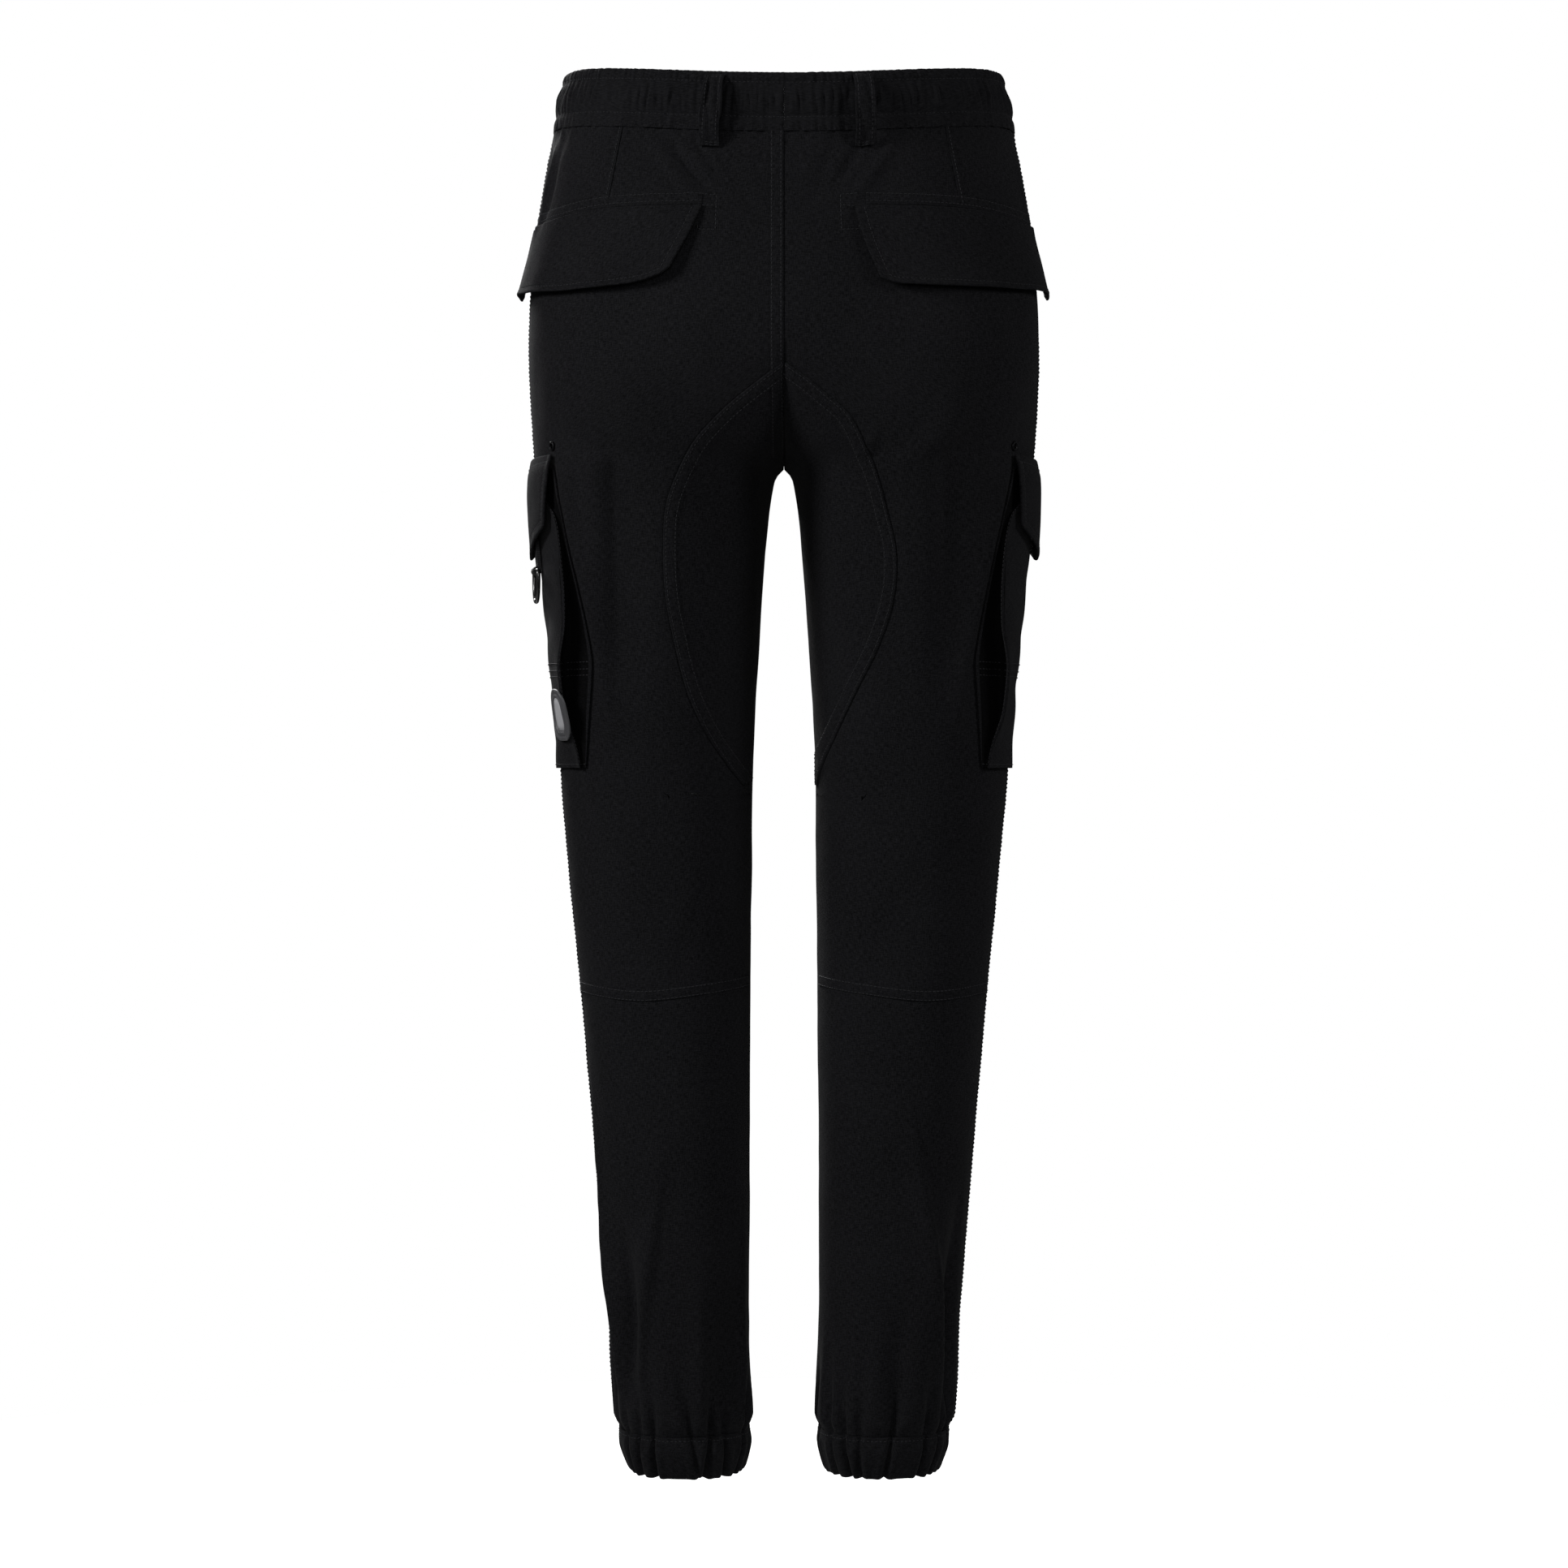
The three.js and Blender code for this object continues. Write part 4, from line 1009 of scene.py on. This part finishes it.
def tapeUnder(name, panel, front):
    """The tape inside the middle seam, which closes it to light."""
    columns, rows = middleTape["cells"]
    level = np.linspace(centreBack["top"], middleTape["bottom"], rows + 1)
    across = np.linspace(-middleTape["half"], middleTape["half"], columns + 1)

    def place(i, j):
        x, down = across[i.astype(int)], level[j.astype(int)]
        u = uAt(np.abs(x), down)
        points, normals = clothPoints(1 - u if front else u, down, middleTape["under"], 1)
        turn = mirrored(np.where(x < 0, -1, 1))
        return points * turn, normals * turn

    piece, _ = clothGrid(name, middleTape["cells"], place)
    dressStrip(piece, panel)


# ---- flaps, bags, loops and trims ----

def overlayGrid(name, side, cells, where, wall, node, second=None):
    """A flap or strip that lies on the trousers. where(s, t) gives u, level and the lift of its outer face."""
    columns, rows = cells

    def place(i, j):
        return clothPoints(*where(i / columns, j / rows), side)

    piece, cut = clothGrid(name, cells, place, second=second)
    dressCloth(piece, wall, [node])
    declare(cut)
    return piece


def stitchOn(side, where, s, t):
    s, t = np.broadcast_arrays(np.asarray(s, float), np.asarray(t, float))
    u, level, height = where(s, t)
    stitchLines.append(clothPoints(u, level, height + threadLift, side))


beltLoop = {
    "width": 14,
    "top": 15,
    "bottom": -37,
    "ply": 1.8,
    "edgeRise": 0.35,
    "lift": [(0, 2.7), (0.14, 7.2), (0.45, 9.2), (0.78, 6.6), (1, 0.45)],
    "places": [
        ("belt_loop_back_l", 1, False, 48.5, 53),
        ("belt_loop_back_r", -1, False, 55, 57.5),
        ("belt_loop_front_l", 1, True, 74, 76),
        ("belt_loop_front_r", -1, True, 74, 76),
    ],
}


def beltLoops():
    b = beltLoop
    for name, side, front, topX, bottomX in b["places"]:
        def where(s, t, front=front, topX=topX, bottomX=bottomX):
            level = mix(b["top"], b["bottom"], t)
            middle = uAt(mix(topX, bottomX, t), level)
            perU = reachOfU(middle, level)
            u = middle + (s - 0.5) * b["width"] / perU
            edge = b["edgeRise"] * smooth(np.abs(s - 0.5), 0.36, 0.44)
            return (1 - u if front else u), level, readTable(b["lift"], t) + b["ply"] + edge
        overlayGrid(name.replace("belt_loop", "loop_strip"), side, (12, 44), where, b["ply"], name)
        t = np.linspace(0.02, 0.98, 60)
        stitchOn(side, where, 0.17, t)
        stitchOn(side, where, 0.83, t)
        s = np.linspace(0.1, 0.9, 12)
        for end in (0.02, 0.05, 0.955, 0.985):
            stitchOn(side, where, s, end)


hem = {"rise": 0.45, "dent": 0.3}  # how a flap's edge stands up outside its stitch row, and dips under it


backFlap = {
    "ply": 2,
    "outerU": 0.53,
    "innerEdge": [(-82, 57, 49), (-104, 65.4, 54), (-118, 71.5, 58), (-132, 78, 63), (-146, 84, 68)],
    "bottom": [(66, -124, -143), (78, -134, -148), (88, -142, -149), (109, -148.5, -150), (149, -151, -149.5),
               (180, -148, -146.5), (187, -144.5, -144)],
    "liftTop": 0.6,
    "liftBottom": 5.4,
    "flare": 2.6,
    "lowRow": 0.93,
    "innerRow": 0.032,
}


def backFlapPiece(side, word):
    f = backFlap
    column = sideColumn[side]

    def where(s, t):
        level = np.full(np.shape(s), float(f["innerEdge"][0][0]))
        for _ in range(settleRounds):
            u = mix(uAt(readTable(f["innerEdge"], level, column), level), f["outerU"], s)
            x = onBody(u, level)[..., 0]
            level = mix(flapLine(x) - 0.6, readTable(f["bottom"], x, column), t)
        lift = mix(f["liftTop"], f["liftBottom"], t**1.4) + f["flare"] * t * s**2 + f["ply"]
        roll = smooth(t, 0.935, 0.965) + (1 - smooth(s, 0.012, 0.028))
        dent = bell(t - f["lowRow"], 0.012) + bell(s - f["innerRow"], 0.007)
        waves = 0.5 * np.sin(9 * s + side) * t**2 + 0.35 * np.sin(23 * s + 2 * side) * t**3
        edge = hem["rise"] * np.minimum(roll, 1) * smooth(t, 0.04, 0.1) - hem["dent"] * np.minimum(dent, 1)
        return u, level, lift + edge + waves

    overlayGrid("back_flap_cloth_" + word, side, (110, 52), where, f["ply"], "back_flap_" + word)
    stitchOn(side, where, np.linspace(f["innerRow"], 0.99, 120), f["lowRow"])
    stitchOn(side, where, f["innerRow"], np.linspace(0.04, f["lowRow"], 60))
    inner = f["innerEdge"][0][column]
    box = [(inner + 1, -84), (inner - 9, -83), (inner - 9, -74), (inner + 4, -74)]
    low = [(inner - 9, -83), (inner - 8.4, -103), (inner + 4, -103), (inner + 4.5, -97)]
    for run in (box, low):
        stitchPath(side, [(uAt(x, level), level) for x, level in run])


cargo = {
    "ply": 1.2,
    "crossSeam": -417,
    "faceLift": 2.1,
    "attachLift": 0.7,
    "upper": (-276, -417),
    "lower": (-417, -491),
    # level, attach x, fold x, edge lift; near the top the bag's edge lies back under the flap
    "rows": [
        (-276, 163, 171, 2.6),
        (-297, 159, 168, 3.2),
        (-309, 156.6, 159.5, 3.6),
        (-325, 153.4, 155, 4.6),
        (-354, 147.7, 149.5, 8.4),
        (-387, 141.3, 146.5, 12.4),
        (-411, 137.4, 148, 14.6),
        (-424, 137.4, 148, 14.4),
        (-450, 139, 147.5, 10.2),
        (-475, 140.6, 144.5, 5),
        (-491, 141.6, 143.5, 2.7),
    ],
    "bellows": 14,
    "tuck": 9,
    "face": 74,
}

bagColumns = 2 * cargo["bellows"] + cargo["face"]


def bagRow(level, column):
    return readTable(cargo["rows"], level, column)


def bagLift(u, level):
    fold = uAt(bagRow(level, 2), level)
    toEdge = np.minimum(np.abs(u - 0.5) / (0.5 - fold), 1)
    return mix(cargo["faceLift"], bagRow(level, 3), toEdge**3)


def bagWhere(side, s, t, span):
    """Across the bag: bellows, face and bellows. The face sags in soft uneven folds."""
    level = mix(span[0], span[1], t)
    attach, fold, edge = uAt(bagRow(level, 1), level), uAt(bagRow(level, 2), level), bagRow(level, 3)
    bellows = cargo["bellows"]
    cell = s * bagColumns
    left, right = cell < bellows, cell > bagColumns - bellows
    b = np.clip(np.where(left, cell, bagColumns - cell) / bellows, 0, 1)
    perU = reachOfU(fold, level)
    under = fold + cargo["tuck"] * smooth(edge, 2, 10) / perU
    bellowsU = np.where(b < 0.6, mix(attach, under, b / 0.6), mix(under, fold, (b - 0.6) / 0.4))
    f = np.clip((cell - bellows) / cargo["face"], 0, 1)
    u = np.where(left, bellowsU, np.where(right, 1 - bellowsU, mix(fold, 1 - fold, f)))
    bellowsLift = mix(cargo["attachLift"], edge, smooth(b, 0.45, 1) ** 0.8)
    fromFold = (np.abs(f - 0.5) * 2 - 1) * (0.5 - fold) * perU
    faceLift = bagLift(u, level) + 0.9 * np.exp(fromFold / 2.2) - hem["dent"] * bell(fromFold + 5, 1.6)
    soft = np.sin(np.pi * f) ** 0.5
    waves = (
        0.9 * np.sin(0.11 * level + 7 * f + side) * bell(f - 0.2, 0.16)
        + 0.8 * np.sin(0.09 * level - 6 * f + 2 * side) * bell(f - 0.78, 0.16)
        + 0.5 * np.sin(0.16 * level + 11 * f) * soft
    )
    return u, level, np.where(left | right, bellowsLift, faceLift + waves * soft) + cargo["ply"]


def isPaintedShadeCell(i, j):
    """Whether a cell of the bag's grid is in its bellows, inside the edge that is sewn to the leg: these cells
    take the painted-shade cloth.
    """
    return 0 < min(i, bagColumns - 1 - i) < cargo["bellows"] - 1


# part of the bag, rows of cells, and the stitch rows across it at shares of its height
bagParts = [("upper", 52, (0.985,)), ("lower", 30, (0.04, 0.1, 0.965))]


def cargoPocket(side, word):
    for part, rows, stitchRows in bagParts:
        def where(s, t, span=cargo[part]):
            return bagWhere(side, s, t, span)
        bag = overlayGrid("cargo_bag_cloth_" + part + "_" + word, side, (bagColumns, rows), where, cargo["ply"],
                          "cargo_bag_" + part + "_" + word,
                          second=isPaintedShadeCell)
        # the bellows cells are drawn in painted shade: a darker copy of the cloth for the shadow in the recess
        bag.data.materials.append(bellowsShadeMaterial)
        for t in stitchRows:
            stitchOn(side, where, np.linspace(0.01, 0.99, 160), t)
        for edge in (0.135, 0.865):
            stitchOn(side, where, edge, np.linspace(0.02, 0.98, 90))


cargoFlap = {
    "ply": 2,
    "backX": 163,
    "top": -266,
    "sideBottom": -316,
    "midBottom": -337,
    "point": 1.6,
    "lift": [(0, 0.9), (0.2, 4.6), (0.6, 7), (1, 8.2)],
    "topRow": 0.1,
    "lowRow": 0.885,
    "sideRow": 0.04,
}


def cargoFlapPiece(side, word):
    f = cargoFlap

    def where(s, t):
        toEdge = np.abs(2 * s - 1)
        level = mix(f["top"], mix(f["midBottom"], f["sideBottom"], toEdge ** f["point"]), t)
        u = uAt(f["backX"], level)
        roll = smooth(toEdge, 0.93, 0.965) + smooth(t, 0.9, 0.95)
        dent = bell(toEdge - 1 + 2 * f["sideRow"], 0.012) + bell(t - f["lowRow"], 0.014)
        edge = hem["rise"] * np.minimum(roll, 1) - hem["dent"] * np.minimum(dent, 1)
        seam = 0.4 * bell(t - f["topRow"], 0.02)
        waves = 0.5 * np.sin(10 * s + side) * t
        return mix(u, 1 - u, s), level, readTable(f["lift"], t) + f["ply"] + edge - seam + waves

    overlayGrid("cargo_flap_cloth_" + word, side, (72, 34), where, f["ply"], "cargo_flap_" + word)
    stitchOn(side, where, np.linspace(f["sideRow"], 1 - f["sideRow"], 130), f["lowRow"])
    stitchOn(side, where, np.linspace(0.01, 0.99, 130), f["topRow"])
    for edge in (f["sideRow"], 1 - f["sideRow"]):
        stitchOn(side, where, edge, np.linspace(f["topRow"], f["lowRow"], 50))


eyelet = {"x": 164.5, "level": -260.5, "bore": 1.7, "rim": 3.5, "height": 1.3, "stand": 0.45, "sunk": 0.6}


def lathe(name, profile, centre, axis):
    """Spins a profile of (radius, height) round an axis through the centre, all in millimetres."""
    bm = bmesh.new()
    ring = [bm.verts.new((r * mm, 0, h * mm)) for r, h in profile]
    edges = [bm.edges.new((ring[k], ring[(k + 1) % len(ring)])) for k in range(len(ring))]
    bmesh.ops.spin(bm, geom=ring + edges, cent=(0, 0, 0), axis=(0, 0, 1), angle=2 * math.pi, steps=48,
                   use_merge=True, use_duplicate=False)
    bmesh.ops.remove_doubles(bm, verts=bm.verts, dist=0.001 * mm)
    bmesh.ops.recalc_face_normals(bm, faces=bm.faces)
    turn = Vector((0, 0, 1)).rotation_difference(Vector(axis)).to_matrix()
    bmesh.ops.rotate(bm, verts=bm.verts, cent=(0, 0, 0), matrix=turn)
    bmesh.ops.translate(bm, verts=bm.verts, vec=Vector(centre) * mm)
    return meshObject(name, bm)


def eyeletPiece(side, word):
    e = eyelet
    point, normal = clothPoints([uAt(e["x"], e["level"])], [e["level"]], e["stand"], side)
    mid, half = (e["rim"] + e["bore"]) / 2, (e["rim"] - e["bore"]) / 2
    profile = [(mid + half * math.cos(a), e["height"] * max(math.sin(a), 0))
               for a in np.linspace(0, math.pi, 10)]
    piece = lathe("eyelet_rim_" + word, profile + [(e["bore"], -e["sunk"])], point[0], normal[0])
    finishPiece(piece, eyeletMaterial, ["eyelet_" + word])


def tubeCurve(name, lines, radius, sides, cyclic=False):
    """Round stock along lines of points in millimetres, made a mesh."""
    curve = bpy.data.curves.new(name, "CURVE")
    curve.dimensions = "3D"
    curve.bevel_depth = radius * mm
    curve.bevel_resolution = sides
    curve.use_fill_caps = not cyclic
    for line in lines:
        spline = curve.splines.new("POLY")
        spline.points.add(len(line) - 1)
        flat = np.ones((len(line), 4))
        flat[:, :3] = np.asarray(line) * mm
        spline.points.foreach_set("co", flat.ravel())
        spline.use_cyclic_u = cyclic
        spline.use_smooth = True
    holder = linkedObject(name, curve)
    bpy.context.view_layer.update()
    mesh = bpy.data.meshes.new_from_object(holder.evaluated_get(bpy.context.evaluated_depsgraph_get()))
    bpy.data.objects.remove(holder)
    mesh.name = name
    mesh.polygons.foreach_set("use_smooth", [True] * len(mesh.polygons))
    return linkedObject(name, mesh)


ring = {"stock": 3.3, "halfWidth": 13.4, "depth": 24, "corner": 3.4, "shoulder": 0.75, "belly": 0.55}


def ringPiece():
    """The D-ring about the hinge's axis: a straight bar with rounded corners and a round bow."""
    r = ring
    hinge = frame["joints"][0]
    centre, along = np.array(hinge["pos_m"]) / mm, np.array(hinge["axis"])
    along = along / np.linalg.norm(along)
    drop = r["depth"] - r["stock"] / 2
    side = drop * r["shoulder"]
    half, corner, belly = r["halfWidth"], r["corner"], r["halfWidth"] * r["belly"]
    t = np.linspace(0, 1, 25)[:-1, None]

    def bow(a, b, c, d):
        a, b, c, d = (np.array(p, float) for p in (a, b, c, d))
        return a * (1 - t) ** 3 + 3 * b * t * (1 - t) ** 2 + 3 * c * t**2 * (1 - t) + d * t**3

    def turnCorner(a, b, c):
        a, b, c = (np.array(p, float) for p in (a, b, c))
        few = t[::4]
        return a * (1 - few) ** 2 + 2 * b * few * (1 - few) + c * few**2
    outline = np.concatenate([
        turnCorner((half - corner, 0), (half, 0), (half, -corner)),
        bow((half, -corner), (half, -side), (belly, -drop), (0, -drop)),
        bow((0, -drop), (-belly, -drop), (-half, -side), (-half, -corner)),
        turnCorner((-half, -corner), (-half, 0), (-half + corner, 0)),
        [(-half + corner, 0)],
    ])
    path = centre + outline[:, :1] * along + outline[:, 1:] * np.array([0, 0, 1])
    piece = tubeCurve("d_ring_bow", [path], r["stock"] / 2, 6, cyclic=True)
    finishPiece(piece, ringMaterial, ["d_ring"], body="d_ring")


badge = {
    "x": 153.5,
    "level": -452,
    "halfWidth": 14.5,
    "halfHeight": 19,
    "power": 3.4,
    "around": 96,
    "stand": 0.45,
    # share of the outline and height, from the back's edge in to the face
    "rings": [(0.97, 0.1), (1, 0.6), (1, 1.5), (0.975, 1.95), (0.93, 2.2), (0.865, 2.2), (0.845, 1.5),
              (0.8, 1.45), (0.78, 2), (0.72, 2.1), (0.68, 1.9), (0.665, 1.2), (0.64, 1.15), (0.4, 1.3),
              (0.05, 1.35)],
    "faceFrom": 12,
}


def badgePiece():
    """A bare moulded badge: two raised rims round a plain face, bent to the bag it is sewn on."""
    b = badge
    around = b["around"]
    middle = uAt(b["x"], b["level"])
    perU = reachOfU(middle, b["level"])
    shares, heights = np.array(b["rings"]).T

    def place(i, j):
        angle = 2 * np.pi * i / around
        c, s = np.cos(angle), np.sin(angle)
        reach = (np.abs(c) ** b["power"] + np.abs(s) ** b["power"]) ** (-1 / b["power"])
        reach = shares[j.astype(int)] * reach
        u = middle + reach * c * b["halfWidth"] / perU
        level = b["level"] + reach * s * b["halfHeight"]
        lift = bagLift(u, level) + 2 * cargo["ply"] + b["stand"] + heights[j.astype(int)]
        return clothPoints(u, level, lift, 1)

    rows = len(b["rings"]) - 1
    for name, keep, material in (
        ("badge_rim", lambda i, j: j < b["faceFrom"], rimMaterial),
        ("badge_face", lambda i, j: j >= b["faceFrom"], faceMaterial),
    ):
        piece, _ = clothGrid(name, (around, rows), place, keep=keep, around=True)
        if name == "badge_face":
            mesh = bmesh.new()
            mesh.from_mesh(piece.data)
            holes = [edge for edge in mesh.edges if edge.is_boundary and edge.calc_length() < 0.2 * mm]
            bmesh.ops.holes_fill(mesh, edges=holes, sides=around)
            mesh.to_mesh(piece.data)
            mesh.free()
        solid = piece.modifiers.new("thickness", "SOLIDIFY")
        solid.thickness = 0.5 * mm
        solid.offset = -1
        finishPiece(piece, material, ["badge"])


# ---- front closings and stitches ----

frontPocket = {"topX": 122, "sideX": 186, "sideLevel": -168, "welt": 9, "endU": 0.502}
fly = {"width": 34, "bottom": -190, "bend": 60, "seamBottom": -262}


def frontSeams(side, word):
    """The slanted pocket mouth, with its turned welt, and the side of the fly."""
    p, top = frontPocket, garment["waistSeam"] - 1
    t = np.linspace(0, 1, 60)
    level = mix(top, p["sideLevel"], t)
    u = np.minimum(1 - uAt(mix(p["topX"], p["sideX"], t**0.8), level), 0.995)
    u = np.where(t > 0.985, p["endU"], np.maximum(u, p["endU"]))
    felledSeam("front_pocket_edge_" + word, "front_panel_" + word, side, pathOf(u, level), -p["welt"],
               (0.3, 0.85), 1.0)
    if side > 0:
        path = pathOf(0.9994, np.linspace(top, fly["seamBottom"], 110))
        felledSeam("centre_front_seam", "front_panel_l", side, path, 8, (0.25, 0.85), 0.9)
        bend = fly["bend"]
        curve = [(fly["width"] * math.cos(a) ** 0.5, fly["bottom"] + bend - bend * math.sin(a))
                 for a in np.linspace(0, math.pi / 2 - 0.05, 24)]
        run = [(fly["width"], top - 1)] + curve
        stitchPath(side, [(1 - uAt(x, level), level) for x, level in run], lift=0.15)


stitch = {"pitch": 3.1, "radius": 0.3, "places": (0.04, 0.32, 0.66), "lifts": (-0.3, 0.22, -0.3)}


def stitchPiece():
    """Every stitch as a short thread whose ends dive into the cloth."""
    threads = []
    lift = np.array(stitch["lifts"])[:, None]
    for points, normals in stitchLines:
        along = alongPath(points)
        for k in range(int(along[-1] / stitch["pitch"])):
            at = (k + np.array(stitch["places"])) * stitch["pitch"]
            here, out = (
                np.stack([np.interp(at, along, values[:, c]) for c in range(3)], axis=-1)
                for values in (points, normals)
            )
            threads.append(here + out * lift)
    piece = tubeCurve("topstitching", threads, stitch["radius"], 0)
    finishPiece(piece, threadMaterial)
    return len(threads)


# ---- making it ----

waistbandPiece()
print("waistband made")
for side, word in ((1, "l"), (-1, "r")):
    bodyPanels(side, word)
    print("panels made", word)
    cuffPiece(side, word)
    backFlapPiece(side, word)
    cargoPocket(side, word)
    cargoFlapPiece(side, word)
    eyeletPiece(side, word)
    seamsOfSide(side, word)
    frontSeams(side, word)
    print("pockets and seams made", word)
centreBackSeam()
tapeUnder("centre_back_tape", "back_panel_r", False)
tapeUnder("centre_front_tape", "front_panel_r", True)
beltLoops()
ringPiece()
badgePiece()
tab = frame["nodes"]["ring_tab"]
tab.data.materials.clear()
tab.data.materials.append(webbingMaterial)
print("stitches", stitchPiece())

# ---- camera, light and backdrop ----

cameraSet = {"distance": 2737, "height": -503, "lens": 85, "sensor": 36}


def makeCamera():
    camera = bpy.data.cameras.new("camera")
    camera.lens = cameraSet["lens"]
    camera.sensor_width = cameraSet["sensor"]
    holder = linkedObject("camera", camera)
    holder.location = (0, cameraSet["distance"] * mm, cameraSet["height"] * mm)
    holder.rotation_euler = (math.radians(90), 0, math.radians(180))
    bpy.context.scene.camera = holder


studio = {
    # name, place in metres, size, power in watts; the photograph's left is +X
    "lamps": [
        ("left_softbox", (1.8, 1.1, 0.6), 0.7, 49),
        ("right_softbox", (-1.9, 0.9, 0.5), 0.7, 20),
        ("front_softbox", (0.1, 2.6, 0.15), 0.7, 16),
        ("far_softbox", (0.9, -2.0, 1.0), 1.3, 75),
    ],
    "aim": (0, 0, -0.5),
    "world": 0.09,
    "backdrop": 1.0,
    "floor": -1.16,
    "floorRadius": 1.35,
    "floorGlow": 0.85,
}


def whiteWhenSeen(material, unseen, seen):
    """One strength for what the camera sees of a glow, another for the light it gives."""
    ray = addNode(material, "ShaderNodeLightPath").outputs["Is Camera Ray"]
    return ranged(material, ray, (0.0, 1.0), (unseen, seen))


def makeStudio():
    for name, place, size, power in studio["lamps"]:
        light = bpy.data.lights.new(name, "AREA")
        light.shape = "DISK"
        light.size = size
        light.energy = power
        holder = linkedObject(name, light)
        holder.location = place
        holder.rotation_euler = (Vector(studio["aim"]) - Vector(place)).to_track_quat("-Z", "Y").to_euler()
    world = bpy.data.worlds.new("studio")
    world.use_nodes = True
    # The backdrop is seen white, as in the photograph, and gives the cloth only a weak fill.
    setInputs(world, world.node_tree.nodes["Background"], {
        "Color": (1, 1, 1, 1), "Strength": whiteWhenSeen(world, studio["world"], studio["backdrop"])})
    bpy.context.scene.world = world
    bm = bmesh.new()
    bmesh.ops.create_circle(bm, cap_ends=True, segments=96, radius=studio["floorRadius"])
    bmesh.ops.translate(bm, verts=bm.verts, vec=(0, 0, studio["floor"]))
    floor = meshObject("floor", bm)
    # Pale paper, seen as white as the backdrop; it throws little light back on the cuffs.
    paper = grainyMaterial("pale_studio_paper", "#a0a0a0", "#b4b4b4", 4, (0.8, 0.95))
    setInputs(paper, paper.node_tree.nodes["Principled BSDF"], {
        "Emission Color": (1, 1, 1, 1), "Emission Strength": whiteWhenSeen(paper, 0.0, studio["floorGlow"])})
    floor.data.materials.append(paper)
    bpy.context.scene.view_settings.view_transform = "Standard"


makeCamera()
makeStudio()
